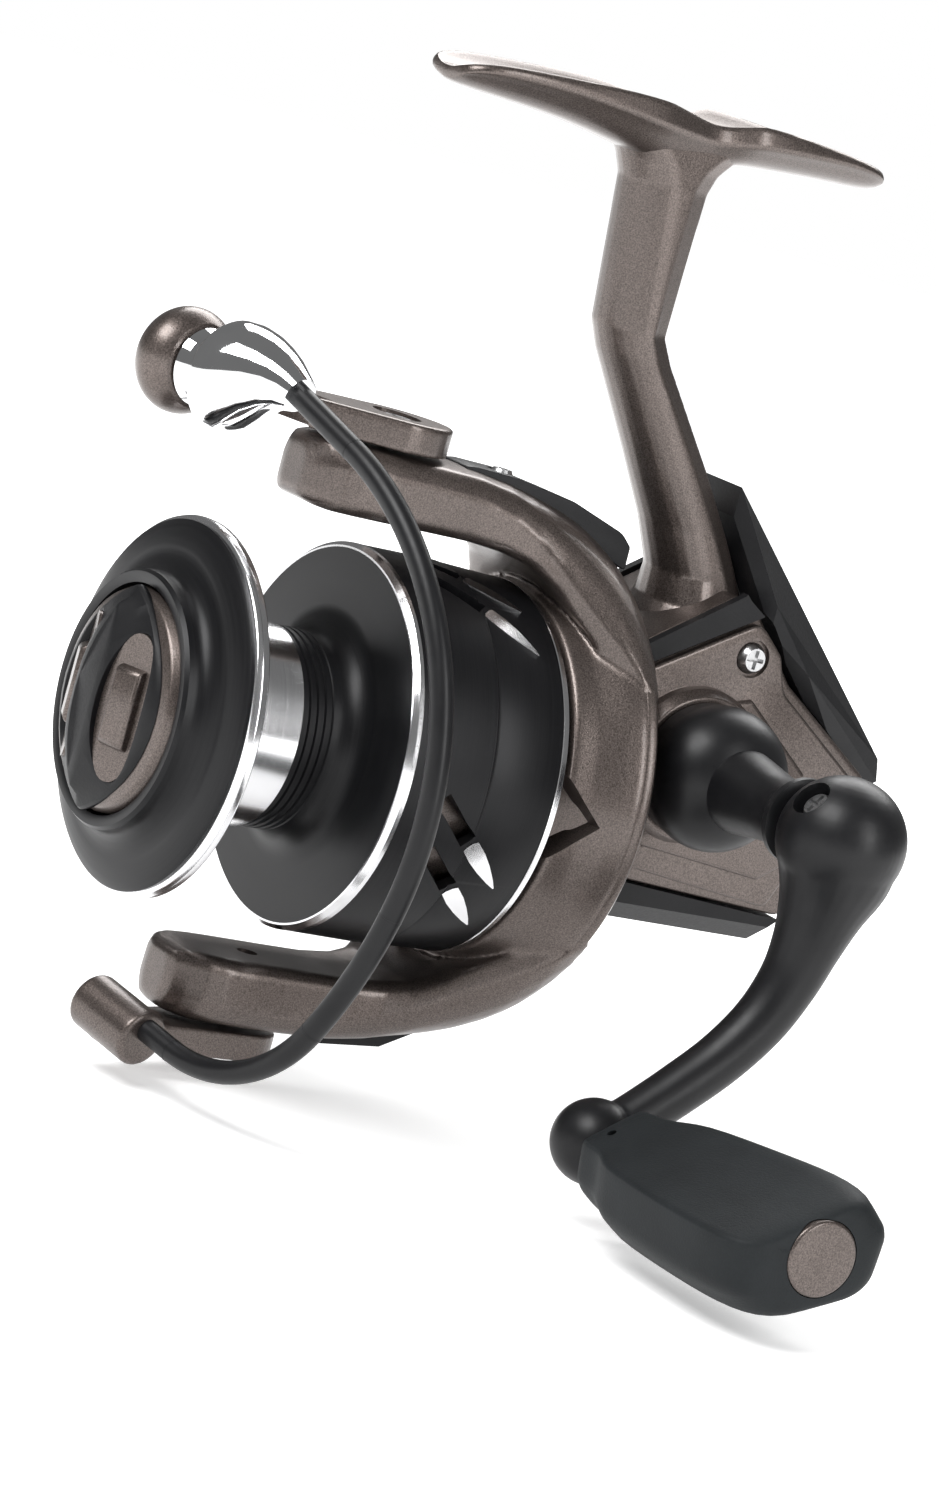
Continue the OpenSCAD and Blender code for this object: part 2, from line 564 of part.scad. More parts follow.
module bail_arm() color(bronze) difference() {
    union() {
        hull() {
            translate([0, pivot_y, bail_top_z]) cylinder(h = 2.6, r = 6.6, $fn = 32);
            translate([0, pivot_y, bail_top_z + 2]) cylinder(h = 2.2, r = 5, $fn = 32);
            translate([-2.6, pivot_y - 12, bail_top_z + 0.4]) cylinder(h = 3.4, r = 3.6, $fn = 32);
        }
        hull() {
            translate([-2.6, pivot_y - 12, bail_top_z + 0.4]) cylinder(h = 3.4, r = 3.6, $fn = 32);
            translate([roller_x - 3.4, roller_y - 0.6, roller_z + 0.6]) sphere(r = 5.6, $fn = 32);
        }
        hull() {
            translate([roller_x - 3.4, roller_y - 0.6, roller_z + 0.6]) sphere(r = 5.6, $fn = 32);
            translate([roller_x, roller_y, roller_z]) rotate([0, 90, wire_turn]) translate([0, 0, -3])
                cylinder(h = 3.8, r = 6.6, $fn = 32);
        }
    }
    translate([0, pivot_y, bail_top_z - 1]) cylinder(h = 10, r = 1.3 + fit);
    translate([0, pivot_y, bail_top_z + 2.6]) cylinder(h = 10, r = 2.9);
    translate([roller_x, roller_y, roller_z]) rotate([0, 90, wire_turn]) translate([0, 0, -4.02])
        cylinder(h = 14, r = 1.27);
    translate([roller_x, roller_y, roller_z]) rotate([0, 90, wire_turn]) translate([0, 0, 0.8])
        cylinder(h = 14, r = 7.2);
}
module bail_foot() color(bronze) difference() {
    union() {
        hull() {
            translate([0, pivot_y, bail_low_z - 3.8]) cylinder(h = 3.8, r = 6, $fn = 32);
            translate([4.8, pivot_y - 17.4, bail_low_z - 3.8]) cylinder(h = 3.8, r = 3.2, $fn = 32);
        }
        hull() {
            translate([4.8, pivot_y - 17.4, bail_low_z - 3.8]) cylinder(h = 3.8, r = 3.2, $fn = 32);
            at_wire_end() translate([0, 0, 8.6]) cylinder(h = 4, r = 3, $fn = 32);
        }
        at_wire_end() translate([0, 0, 3.6]) cylinder(h = 11, r = 3.7);
    }
    translate([0, pivot_y, bail_low_z - 9]) cylinder(h = 20, r = 1.3 + fit);
    translate([0, pivot_y, bail_low_z - 9]) cylinder(h = 6.4, r = 2.9);
    at_wire_end() translate([0, 0, -1]) cylinder(h = 12.1, r = wire_r + 0.02);
}
module pivot_screws() color(steel) for (m = [0, 180]) {
    translate([0, 0, shaft_z]) rotate([0, m, 0]) translate([0, pivot_y, arm_in_r + 2])
        screw(arm_out_r - arm_in_r + 0.95, 1.24, 2.6, 1);
}

/* Main shaft and crosswind slider */
module main_shaft() color(silver) difference() {
    shaft_bar(shaft_r, -54.6, 43.4);
    translate([0, osc_y + throw, shaft_z - 5]) cylinder(h = 10, r = 0.8);
}
slider_y = osc_y + throw;
module slider() color(steel) difference() {
    union() {
        translate([-4.4, slider_y - 2.9, rail_z - 0.7]) cube([2.1, 5.8, 9.5]);
        translate([-4.4, slider_y + 1.6, rail_z - 0.7]) cube([2.1, 1.3, 15.7]);
        translate([-2.4, slider_y - 2.9, shaft_z - 3.6]) cube([5.6, 5.8, 7.2]);
        translate([-2, slider_y - 2.9, rail_z]) cube([4, 5.8, 3]);
        translate([0, slider_y - 2.9, rail_z]) rotate([-90, 0, 0]) cylinder(h = 5.8, r = 1.8);
    }
    shaft_bar(shaft_r + 0.02, slider_y - 4, slider_y + 4);
    translate([0, slider_y - 4, rail_z]) rotate([-90, 0, 0]) cylinder(h = 9, r = rail_r + fit);
    translate([-7, slider_y - throw_pin_r - 0.1, rail_z - 3]) cube([4.5, throw_pin_r * 2 + 0.2, 22]);
    translate([0, slider_y, shaft_z - 6]) cylinder(h = 12, r = 0.8);
}
module slider_screw() color(steel) translate([0, slider_y, shaft_z - 1.6]) screw(5.3, 0.78, 1.5, 0.8);
module click_gear() color(satin) difference() {
    union() {
        shaft_ring(7.6, shaft_r + 0.02, -31.6, -30.2);
        for (i = [0:23]) {
            translate([0, -31.6, shaft_z]) rotate([0, i * 15, 0]) translate([-0.4, 0, 7.3]) cube([0.8, 1.4, 1]);
        }
    }
}

/* Spool */
slot_lead = 2;
slot_pitch = 16.5;
module skirt_slot(a) for (k = [0:5]) {
    translate([0, 0, shaft_z]) rotate([0, -a + k * slot_lead * 0.9, 0]) translate([20, -19 + k * 0.9, 0])
        rotate([0, 90, 0]) cylinder(h = 8, r = 1.15);
}
module spool() color(black) difference() {
    turned(concat(
        [[12.2, -51.2], [14.8, -51.2], [14.8, -54.4], [16.2, -54.4], [16.6, -54]],
        [for (a = [0:15:90]) [20.6 - 3.8 * cos(a), -50.8 - 2.6 * (1 - sin(a))]],
        [[lip_r - 0.7, spool_front], [lip_r - 0.7, -49], [20.4, -48.6], [20.4, -47.2], [arbor_r + 0.4, -46.6],
         [arbor_r - 0.6, -46.4], [arbor_r - 0.6, -35.2], [arbor_r - 0.1, -35.2], [arbor_r - 0.1, flange_y - 4.2]],
        [for (a = [0:15:90]) [arbor_r + 3.9 - 4 * cos(a), flange_y - 4.2 + 3.8 * sin(a)]],
        [[skirt_r - 0.7, flange_y], [skirt_r, flange_y + 0.6], [skirt_r, -14],
         [skirt_r - 0.25, -13.7], [skirt_r - 0.1, -13.4], [skirt_r - 0.6, skirt_end],
         [inner_skirt_r - 0.6, skirt_end], [inner_skirt_r, -14], [inner_skirt_r, flange_y + 3.4],
         [inner_skirt_r - 1, flange_y + 2.2], [10.4, flange_y + 2.2], [10.4, -38.6], [6.2, -38.6], [6.2, -33.4],
         [4 + 0.02, -33.4], [4 + 0.02, -41.6], [12.2, -41.6]]));
    for (p = [0:slot_pairs - 1], s = [-1, 1]) skirt_slot(-21.6 + 11.2 + p * 360 / slot_pairs + s * slot_pitch / 2);
}
module lip_ring() color(silver) turned([[20.42, -48.6], [lip_r - 0.6, -49], [lip_r - 0.1, -48.7], [lip_r, -48],
                                        [lip_r - 0.2, -47.3], [lip_r - 0.9, -46.9], [20.42, -46.9]]);
module arbor_band() color(silver) shaft_ring(arbor_r, arbor_r - 0.58, -46.3, -35.3);
module spool_bush() color(brass) shaft_ring(4, shaft_r + fit, -41.4, -33.6);
module drag_felts() color(rubber) {
    shaft_ring(11.8, 2.6, -42.8, -41.8);
    shaft_ring(11.8, 2.6, -44.8, -43.8);
    shaft_ring(11.8, 2.6, -46.8, -45.8);
}
module drag_plates() color(steel) {
    shaft_ring(11.8, shaft_r + fit, -43.75, -42.85);
    shaft_ring(11.8, shaft_r + fit, -45.75, -44.85);
    shaft_ring(11.8, shaft_r + fit, -47.75, -46.85);
}
module washer_clip() color(steel) difference() {
    shaft_ring(12.18, 10.8, -48.4, -47.85);
    translate([-1.6, -49, shaft_z - 14]) cube([3.2, 2, 6]);
}
// Drag knob: a black cap with a grip bar, over a bronze plate that shows in its pockets
knob_front = -57.4;
module drag_knob() color(satin) difference() {
    union() {
        turned([[0, -56.4], [3.4, -56.4], [3.4, -57.3], [13, -57.3], [14.4, -55.8], [14.4, -51.6],
                [11.4, -51.6], [11.4, -49.6], [4.4, -49.6], [4.4, -55.6], [0, -55.6]]);
        hull() {
            translate([-2.2, -58.4, shaft_z - 9]) cube([4.4, 2, 18]);
            translate([-3.2, -57.4, shaft_z - 12]) cube([6.4, 1, 24]);
        }
    }
    for (s = [-1, 1]) hull() for (z = [-6.4, 6.4]) {
        translate([s * 7.6, -60, shaft_z + z]) rotate([-90, 0, 0]) cylinder(h = 4.4, r = 3.1, $fn = 32);
    }
}
module knob_inlay() color(bronze) for (s = [-1, 1]) hull() for (z = [-6.2, 6.2]) {
    translate([s * 7.6, -55.62, shaft_z + z]) rotate([90, 0, 0]) cylinder(h = 0.9, r = 2.9, $fn = 32);
}
module drag_nut() color(brass) difference() {
    shaft_bar(4.2, -54.8, -51.6);
    shaft_bar(shaft_r + 0.05, -56, -50);
}
module drag_spring() color(steel) for (y = [-51.2, -50.2, -49.2]) {
    translate([0, y, shaft_z]) rotate([-90, 0, 0]) rotate_extrude() translate([3.4, 0]) circle(r = 0.35);
}

reel_body();
side_cover();
rear_guard();
bottom_guard();
top_trim();
left_cap();
cover_screws();
guard_screws();
drive_bearings();
pinion_bearing();
clutch_ring();
clutch_rollers();
clutch_plate();
clutch_screws();
slider_rail();
drive_gear();
handle_boss();
crosswind_gear();
handle_arm();
fold_screw();
knob_post();
knob_grip();
knob_cap();
knob_bush();
rotor();
pinion();
rotor_nut();
nut_screw();
clutch_sleeve();
arm_cover();
arm_cover_screw();
balance_cover();
balance_screw();
bail_spring();
trip_lever();
bail_arm();
bail_foot();
bail_wire();
roller_nose();
roller_pin();
pivot_screws();
line_roller();
main_shaft();
slider();
slider_screw();
click_gear();
spool();
lip_ring();
arbor_band();
spool_bush();
drag_felts();
drag_plates();
washer_clip();
drag_knob();
knob_inlay();
drag_nut();
drag_spring();
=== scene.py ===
import bpy, json, math
from mathutils import Matrix, Vector


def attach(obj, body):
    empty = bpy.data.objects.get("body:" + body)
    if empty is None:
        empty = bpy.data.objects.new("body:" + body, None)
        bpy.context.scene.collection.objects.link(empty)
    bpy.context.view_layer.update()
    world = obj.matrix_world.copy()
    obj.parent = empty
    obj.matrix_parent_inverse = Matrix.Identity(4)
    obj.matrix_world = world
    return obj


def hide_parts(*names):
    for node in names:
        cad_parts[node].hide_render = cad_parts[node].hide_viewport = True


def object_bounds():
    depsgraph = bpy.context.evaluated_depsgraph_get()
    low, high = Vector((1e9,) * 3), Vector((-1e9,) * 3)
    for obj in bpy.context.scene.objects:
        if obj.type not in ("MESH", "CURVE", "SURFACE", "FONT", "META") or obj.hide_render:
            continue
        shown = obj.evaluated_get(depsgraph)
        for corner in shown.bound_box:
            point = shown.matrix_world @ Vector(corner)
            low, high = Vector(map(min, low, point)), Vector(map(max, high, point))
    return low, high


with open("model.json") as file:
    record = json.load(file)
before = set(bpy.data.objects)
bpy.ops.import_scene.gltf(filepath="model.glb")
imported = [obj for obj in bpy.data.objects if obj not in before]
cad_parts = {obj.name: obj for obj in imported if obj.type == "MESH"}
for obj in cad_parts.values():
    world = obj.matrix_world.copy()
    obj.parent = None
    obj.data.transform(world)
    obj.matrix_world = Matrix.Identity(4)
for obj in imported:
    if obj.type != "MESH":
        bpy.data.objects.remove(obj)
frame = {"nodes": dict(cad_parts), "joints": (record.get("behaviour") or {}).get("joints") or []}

cad_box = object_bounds()


# ---------------------------------------------------------------- Studio
# A camera on a long lens a little above the spool, three soft boxes and a bright
# room, over a plain pale table whose painted glow grows with distance, so it fades into the background.
camera_at = (0.62027, -0.39993, 0.00756)
across = Vector((0.48781179, 0.83010993, 0.27010581))
upward = Vector((-0.25842104, -0.15822756, 0.95298615))
away = across.cross(upward).normalized()
upward = away.cross(across).normalized()
eye = bpy.data.objects.new("camera", bpy.data.cameras.new("camera"))
bpy.context.scene.collection.objects.link(eye)
eye.data.sensor_width = 36
eye.data.lens = 137.76
eye.data.clip_start, eye.data.clip_end = 0.05, 20
eye.matrix_world = Matrix.Translation(camera_at) @ Matrix(
    (across.normalized(), upward, away)).transposed().to_4x4()
bpy.context.scene.camera = eye


class Wire:
    """A shader socket that takes ordinary arithmetic."""

    def __init__(self, nodes, socket):
        self.nodes, self.socket = nodes, socket

    def math(self, operation, a, b):
        n = self.nodes.new("ShaderNodeMath")
        n.operation = operation
        for i, v in enumerate((a, b)):
            if isinstance(v, Wire):
                n.id_data.links.new(v.socket, n.inputs[i])
            else:
                n.inputs[i].default_value = v
        return Wire(self.nodes, n.outputs[0])

    def __add__(self, o): return self.math("ADD", self, o)
    def __radd__(self, o): return self.math("ADD", o, self)
    def __mul__(self, o): return self.math("MULTIPLY", self, o)
    def __rmul__(self, o): return self.math("MULTIPLY", o, self)


class Finish:
    """One material: a principled surface, and a way to add any other node to it."""

    def __init__(self, name, **fixed):
        self.name = name
        self.material = bpy.data.materials.new(name)
        self.material.use_nodes = True
        self.tree = self.material.node_tree
        self.nodes = self.tree.nodes
        self.surface = next(n for n in self.nodes if n.type == "BSDF_PRINCIPLED")
        for key, value in fixed.items():
            self.surface.inputs[key.replace("_", " ")].default_value = value

    def node(self, kind, settings=(), out=0, **inputs):
        """Adds a node: its settings first, then its sockets by name, or as i0, i1 by place."""
        n = self.nodes.new("ShaderNode" + kind)
        for key, value in dict(settings).items():
            if key == "stops":
                ramp = n.color_ramp
                while len(ramp.elements) < len(value):
                    ramp.elements.new(0.5)
                for stop, (place, shade) in zip(ramp.elements, value):
                    stop.position, stop.color = place, (*shade, 1)
            else:
                setattr(n, key, value)
        for key, value in inputs.items():
            by_place = key[0] == "i" and key[1:].isdigit()
            socket = n.inputs[int(key[1:]) if by_place else key.replace("_", " ")]
            if isinstance(value, Wire):
                self.tree.links.new(value.socket, socket)
            else:
                socket.default_value = value
        return Wire(self.nodes, n.outputs[out])

    def place(self):
        return self.node("TexCoord", out=3)

    def grain(self, scale, detail=2.0, rough=0.5, stretch=(1, 1, 1)):
        where = self.node("Mapping", i0=self.place(), Scale=stretch)
        return self.node("TexNoise", i0=where, Scale=scale, Detail=detail, Roughness=rough)

    def put(self, key, value):
        self.tree.links.new(value.socket, self.surface.inputs[key])

    def shade(self, dark, light, by):
        self.put("Base Color", self.node("ValToRGB", {"stops": [(0.25, dark), (0.75, light)]}, Fac=by))

    def relief(self, height, depth, strength=1.0):
        self.put("Normal", self.node("Bump", Height=height, Distance=depth, Strength=strength))


def soft_box(name, place, target, size, watts):
    lamp = bpy.data.objects.new(name, bpy.data.lights.new(name, "AREA"))
    bpy.context.scene.collection.objects.link(lamp)
    lamp.data.shape, lamp.data.size, lamp.data.size_y = "RECTANGLE", size[0], size[1]
    lamp.data.energy = watts
    lamp.location = place
    lamp.rotation_euler = (Vector(place) - Vector(target)).to_track_quat("Z", "Y").to_euler()


middle = (cad_box[0] + cad_box[1]) / 2
soft_box("key_light", (0.15, -0.75, 0.75), middle, (0.7, 0.5), 13)
soft_box("side_light", (1.0, 0.25, 0.35), middle, (0.3, 0.8), 6)
soft_box("back_light", (-0.5, 0.5, 0.6), middle, (0.8, 0.5), 8)

# The room looks white behind the reel, and lights it with about a fifth of that.
room = bpy.data.worlds.new("room")
bpy.context.scene.world = room
room.use_nodes = True
sky = room.node_tree
backdrop = sky.nodes["Background"]
backdrop.inputs["Color"].default_value = (1, 1, 1, 1)
backdrop.inputs["Strength"].default_value = 1.0
dim = sky.nodes.new("ShaderNodeBackground")
dim.inputs["Strength"].default_value = 0.2
ray, either = sky.nodes.new("ShaderNodeLightPath"), sky.nodes.new("ShaderNodeMixShader")
sky.links.new(ray.outputs["Is Camera Ray"], either.inputs[0])
sky.links.new(dim.outputs[0], either.inputs[1])
sky.links.new(backdrop.outputs[0], either.inputs[2])
world_output = next(n for n in sky.nodes if n.type == "OUTPUT_WORLD")
sky.links.new(either.outputs[0], world_output.inputs[0])
bpy.context.scene.view_settings.view_transform = "Standard"

table_gap = 0.001
bpy.ops.object.select_all(action="DESELECT")
bpy.ops.mesh.primitive_circle_add(vertices=96, radius=3, fill_type="NGON",
                                  location=(0, 0, cad_box[0].z - table_gap))
table = bpy.context.object
table.name = "table"
# The table's painted glow: a dim emission near the reel, so its shadow still shows, rising to full
# white further out in place of the lamp light that falls off there.
near_glow, far_glow = (0.42, 0.42, 0.42), (1, 1, 1)
pale_glowing_table = Finish("pale_table_painted_glow", Roughness=0.9, Emission_Strength=1.0)
reach = pale_glowing_table.node("VectorMath", {"operation": "LENGTH"}, out=1, i0=pale_glowing_table.place())
fade = {"stops": [(0.0, near_glow), (0.12, near_glow), (0.3, far_glow)]}
pale_glowing_table.put("Emission Color", pale_glowing_table.node("ValToRGB", fade, Fac=reach))
pale_glowing_table.shade((0.86, 0.86, 0.86), (0.9, 0.9, 0.9), pale_glowing_table.grain(3))
table.data.materials.append(pale_glowing_table.material)


# ---------------------------------------------------------------- Foot, stem and neck
# One aluminium die casting: the foot that the rod's hoods grip, its hollowed seat, the
# stem that carries the gear case below it, and the neck that the rotor turns round.
# It is painted bronze, with a fine metal flake under a thin clear coat.
bronze_paint = Finish("bronze_paint", Metallic=0.8, Coat_Weight=0.3, Coat_Roughness=0.16)
flake, cloud = bronze_paint.grain(5200, 1.5, 0.6), bronze_paint.grain(90, 3)
bronze_paint.shade((0.045, 0.036, 0.032), (0.185, 0.152, 0.138), flake * 0.85 + cloud * 0.15)
bronze_paint.put("Roughness", 0.26 + flake * 0.2)
bronze_paint.relief(flake, 0.00006, 0.5)


def pivot(joint):
    """Where a joint's axis passes, in millimetres."""
    return Vector(next(j["pos_m"] for j in frame["joints"] if j["name"] == joint)) * 1000


def start():
    if bpy.context.object and bpy.context.object.mode != "OBJECT":
        bpy.ops.object.mode_set(mode="OBJECT")
    bpy.ops.object.select_all(action="DESELECT")


def only(*pieces):
    start()
    for p in pieces:
        p.select_set(True)
    bpy.context.view_layer.objects.active = pieces[0]


def edit(piece, *steps):
    only(piece)
    bpy.ops.object.mode_set(mode="EDIT")
    bpy.ops.mesh.select_all(action="SELECT")
    for step in steps:
        step()
    bpy.ops.object.mode_set(mode="OBJECT")


def outward():
    bpy.ops.mesh.remove_doubles(threshold=1e-6)
    bpy.ops.mesh.normals_make_consistent(inside=False)


def modify(piece, kind, **settings):
    only(piece)
    m = piece.modifiers.new(kind.lower(), kind)
    for key, value in settings.items():
        setattr(m, key, value)
    bpy.ops.object.modifier_apply(modifier=m.name)


def join(name, *pieces):
    only(*pieces)
    if len(pieces) > 1:
        bpy.ops.object.join()
    bpy.context.object.name = name
    return bpy.context.object


def turned(name, profile, centre=None, axis="Y", steps=128):
    """A closed profile of (radius, distance along the axis), spun round that axis."""
    centre = Vector(centre) if centre else Vector((0, 0, shaft_z))
    start()
    bpy.ops.mesh.primitive_circle_add(vertices=len(profile), fill_type="NOTHING")
    piece = bpy.context.object
    piece.name = name
    side, way = {"Y": ((1, 0, 0), (0, 1, 0)), "X": ((0, 0, 1), (1, 0, 0)),
                 "Z": ((1, 0, 0), (0, 0, 1))}[axis]
    for v, (r, a) in zip(piece.data.vertices, profile):
        v.co = (centre + Vector(side) * r + Vector(way) * a) / 1000
    edit(piece, lambda: bpy.ops.mesh.spin(steps=steps, angle=math.radians(360),
                                          center=centre / 1000, axis=way))
    edit(piece, lambda: bpy.ops.mesh.remove_doubles(threshold=2e-6), outward)
    return piece


def loft(name, rings):
    """A skin through rings of points: the first is a primitive, the others are extruded from it."""
    start()
    bpy.ops.mesh.primitive_circle_add(vertices=len(rings[0]), fill_type="NGON")
    piece = bpy.context.object
    piece.name = name
    for v, p in zip(piece.data.vertices, rings[0]):
        v.co = Vector(p) / 1000
    bpy.ops.object.mode_set(mode="EDIT")
    bpy.ops.mesh.select_all(action="SELECT")
    for ring in rings[1:]:
        bpy.ops.mesh.extrude_region_move()
        bpy.ops.object.mode_set(mode="OBJECT")
        picked = [v for v in piece.data.vertices if v.select]
        for v, p in zip(picked, ring):
            v.co = Vector(p) / 1000
        bpy.ops.object.mode_set(mode="EDIT")
    bpy.ops.object.mode_set(mode="OBJECT")
    edit(piece, outward)
    return piece


def fuse(piece, voxel, passes):
    """Joins overlapping shells into one skin and eases its edges, as a casting's are."""
    most_triangles = 180000
    modify(piece, "REMESH", mode="VOXEL", voxel_size=voxel / 1000)
    modify(piece, "SMOOTH", factor=0.5, iterations=passes)
    triangles = len(piece.data.polygons) * 2
    if triangles > most_triangles:
        modify(piece, "DECIMATE", ratio=most_triangles / triangles)


def carry(finish, *nodes):
    """Gives a finish to pieces that are carried over from the frame as they are."""
    for name in nodes:
        own = frame["nodes"][name].data.materials
        own.clear()
        own.append(finish.material)


def settle(piece, body, finish, *nodes, degrees=32):
    """Finishes a new piece, puts it in place of the nodes named, and ties it to its body."""
    piece.data.materials.clear()
    piece.data.materials.append(finish.material)
    only(piece)
    bpy.ops.object.shade_smooth_by_angle(angle=math.radians(degrees))
    if nodes:
        carry(finish, *nodes)
        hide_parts(*nodes)
    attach(piece, body)


shaft_z = pivot("rotor_spin").z
seat_r = 10
brim_width = 0.9
foot_sections = [  # y, half width, side edge, underside
    (-33.0, 3.4, -10.9, -11.3), (-32.6, 4.7, -10.3, -11.7), (-31.4, 5.9, -9.8, -12.0),
    (-28.6, 6.8, -9.4, -12.2), (-24, 7.3, -9.2, -12.4), (-16, 7.8, -9.3, -12.8),
    (-9, 8.1, -9.8, -13.8), (-4.2, 8.0, -10.3, -14.6), (-3.0, 7.8, -10.4, -14.9),
    (2.8, 6.5, -10.9, -15.0), (4.2, 6.3, -11.0, -14.8), (6.4, 6.3, -10.9, -14.2),
    (10.2, 7.9, -10.0, -13.2), (11.4, 8.1, -9.8, -12.9), (18, 7.9, -9.4, -12.4),
    (25, 7.2, -9.1, -12.0), (29.6, 6.5, -9.3, -11.9), (31.8, 5.5, -9.8, -11.7),
    (32.7, 4.3, -10.3, -11.6), (33.0, 3.2, -10.9, -11.3)]
rings = []
for y, w, edge, under in foot_sections:
    flat = w - brim_width
    brim = -math.sqrt(seat_r ** 2 - flat ** 2)
    half = [(0, under), (w * 0.26, under + 0.05), (w * 0.5, under + 0.35),
            (w * 0.72, under * 0.55 + edge * 0.45), (w * 0.9, under * 0.12 + edge * 0.88),
            (w + 0.05, edge), (w + 0.1, min(brim - 0.7, edge + 0.8)),
            (w - 0.1, min(brim - 0.25, edge + 1.2)), (w - 0.5, brim), (flat, brim)]
    half += [(flat * k / 5, -math.sqrt(seat_r ** 2 - (flat * k / 5) ** 2)) for k in (4, 3, 2, 1, 0)]
    rings.append([(x, y, z) for x, z in half] + [(-x, y, z) for x, z in half[-2:0:-1]])
foot = loft("foot", rings)
modify(foot, "SUBSURF", levels=1, render_levels=1)
settle(foot, "frame", bronze_paint, degrees=48)

stem_front_r = 5.6
stem_sections = [  # z, front, back, half width
    (-10.9, -9.4, 13.0, 5.0), (-13, -6.6, 9.8, 5.2), (-15, -4.8, 8.0, 5.4), (-17.6, -3.5, 7.1, 5.5),
    (-28, -2.3, 6.9, 5.6), (-36.6, -1.3, 6.9, 5.6), (-40, 0.4, 9.0, 5.6), (-52, 8.7, 18.6, 5.9),
    (-60, 14.0, 24.4, 6.2), (-66, 17.2, 28.2, 6.6), (-70, 17.4, 29.6, 7.8), (-74, 15.0, 31, 9.6)]
rings = []
for z, front, back, w in stem_sections:
    nose = [(w * math.sin(math.radians(a)),
             front + stem_front_r - stem_front_r * math.cos(math.radians(a)), z)
            for a in range(-90, 91, 15)]
    rings.append(nose + [(w, back - 3.0, z), (w * 0.72, back, z), (-w * 0.72, back, z),
                         (-w, back - 3.0, z)])
stem = loft("stem", rings)
neck = turned("neck", [(12, -11.9), (14.3, -11.9), (14.3, 12), (12, 12)])
casting = join("casting", stem, neck)
fuse(casting, 0.27, 5)
settle(casting, "frame", bronze_paint, "reel_body", degrees=40)


# ---------------------------------------------------------------- Gear case
# The gear case is the lower end of the same casting; the side cover is screwed on over
# the gears, with a raised panel, a rolled edge and a round collar for the handle.
# Moulded black guards are screwed on behind and below, and steel screws hold them all.
black_plastic = Finish("black_plastic", Metallic=0.0, Specular_IOR_Level=0.24)
fine = black_plastic.grain(2600, 3)
black_plastic.shade((0.005, 0.005, 0.006), (0.010, 0.010, 0.011), black_plastic.grain(160, 4))
black_plastic.put("Roughness", 0.36 + fine * 0.16)
black_plastic.relief(fine, 0.00003, 0.6)

steel = Finish("steel", Metallic=1.0)
brushed = steel.grain(700, 4, 0.6, (1, 6, 1))
steel.shade((0.42, 0.42, 0.43), (0.62, 0.62, 0.62), brushed)
steel.put("Roughness", 0.2 + brushed * 0.2)
steel.relief(brushed, 0.00002, 0.5)


def rounded(corners, radius, steps=4):
    """A polygon with its corners rounded, each as far as its neighbours allow."""
    out = []
    for i, b in enumerate(corners):
        r = radius[i] if isinstance(radius, (list, tuple)) else radius
        b, a, c = Vector(b), Vector(corners[i - 1]), Vector(corners[(i + 1) % len(corners)])
        ab, cb = a - b, c - b
        half = ab.angle(cb) / 2
        if r <= 0 or half > math.radians(87):
            out.append(tuple(b))
            continue
        reach = min(r / math.tan(half), ab.length * 0.48, cb.length * 0.48)
        p, q = b + ab.normalized() * reach, b + cb.normalized() * reach
        for k in range(steps + 1):
            t = k / steps
            out.append(tuple(p * (1 - t) ** 2 + b * 2 * t * (1 - t) + q * t * t))
    return out


def plate(name, outline, low, high, axis="X"):
    """An outline in the plane across an axis, extruded from low to high, in millimetres."""
    at = {"X": lambda a, b, w: (w, a, b), "Z": lambda a, b, w: (a, b, w)}[axis]
    start()
    bpy.ops.mesh.primitive_circle_add(vertices=len(outline), fill_type="NGON")
    piece = bpy.context.object
    piece.name = name
    for v, (a, b) in zip(piece.data.vertices, outline):
        v.co = Vector(at(a, b, low)) / 1000
    edit(piece, lambda: bpy.ops.mesh.extrude_region_move(
        TRANSFORM_OT_translate={"value": Vector(at(0, 0, high - low)) / 1000}))
    edit(piece, outward)
    return piece


def ease(piece, width, degrees=50, segments=3):
    """Rounds the edges that are sharper than an angle."""
    modify(piece, "BEVEL", width=width / 1000, segments=segments, limit_method="ANGLE",
           angle_limit=math.radians(degrees))


def cut(piece, tool):
    modify(piece, "BOOLEAN", operation="DIFFERENCE", object=tool, solver="EXACT")
    bpy.data.objects.remove(tool)


drive_y, drive_z = pivot("drive_spin").yz
case_outline = [(10.4, -76), (24.8, -66.2), (29, -68.4), (36.5, -76.5), (53, -87), (45.5, -107.2),
                (18, -105.8), (10.4, -106.2)]
case = plate("gear_case", rounded(case_outline, [1, 2, 3, 4, 2, 2, 3, 1]), -10.4, 10.5)
ease(case, 0.7)
far_outline = [(12.4, -84), (29, -80), (43, -88.4), (38, -101.6), (18.8, -99.6), (12.4, -99.8)]
far_panel = plate("far_panel", rounded(far_outline, 1.2), -13.2, -9)
ease(far_panel, 1.2)
case = join("gear_case", case, far_panel)
settle(case, "frame", bronze_paint)

cover_outline = [(11.6, -78.6), (28.2, -68.9), (32.6, -72.7), (34.6, -77.4), (49.4, -87),
                 (41.2, -106), (18.4, -103.8), (11.6, -104.2)]
cover = plate("side_cover", rounded(cover_outline, [0.6, 2.4, 2, 3, 1.6, 1.6, 2, 0.6]), 10.65, 12.4)
ease(cover, 0.8)
panel_outline = [(12, -83.4), (24.6, -80.4), (29.6, -79), (40.8, -87.3), (42.4, -99.4),
                 (38.2, -102.4), (19.7, -100.7), (12, -100.2)]
panel = plate("panel", rounded(panel_outline, 0.8), 11.4, 13.3)
ease(panel, 1)
collar_profile = [(5, 11), (10.6, 11), (10.4, 13.6), (9.6, 15.2), (8.6, 15.2), (8.2, 14.6), (5, 14.6)]
collar = turned("collar", rounded(collar_profile, 0.5), (0, drive_y, drive_z), "X", 96)
cover = join("side_cover_skin", cover, panel, collar)
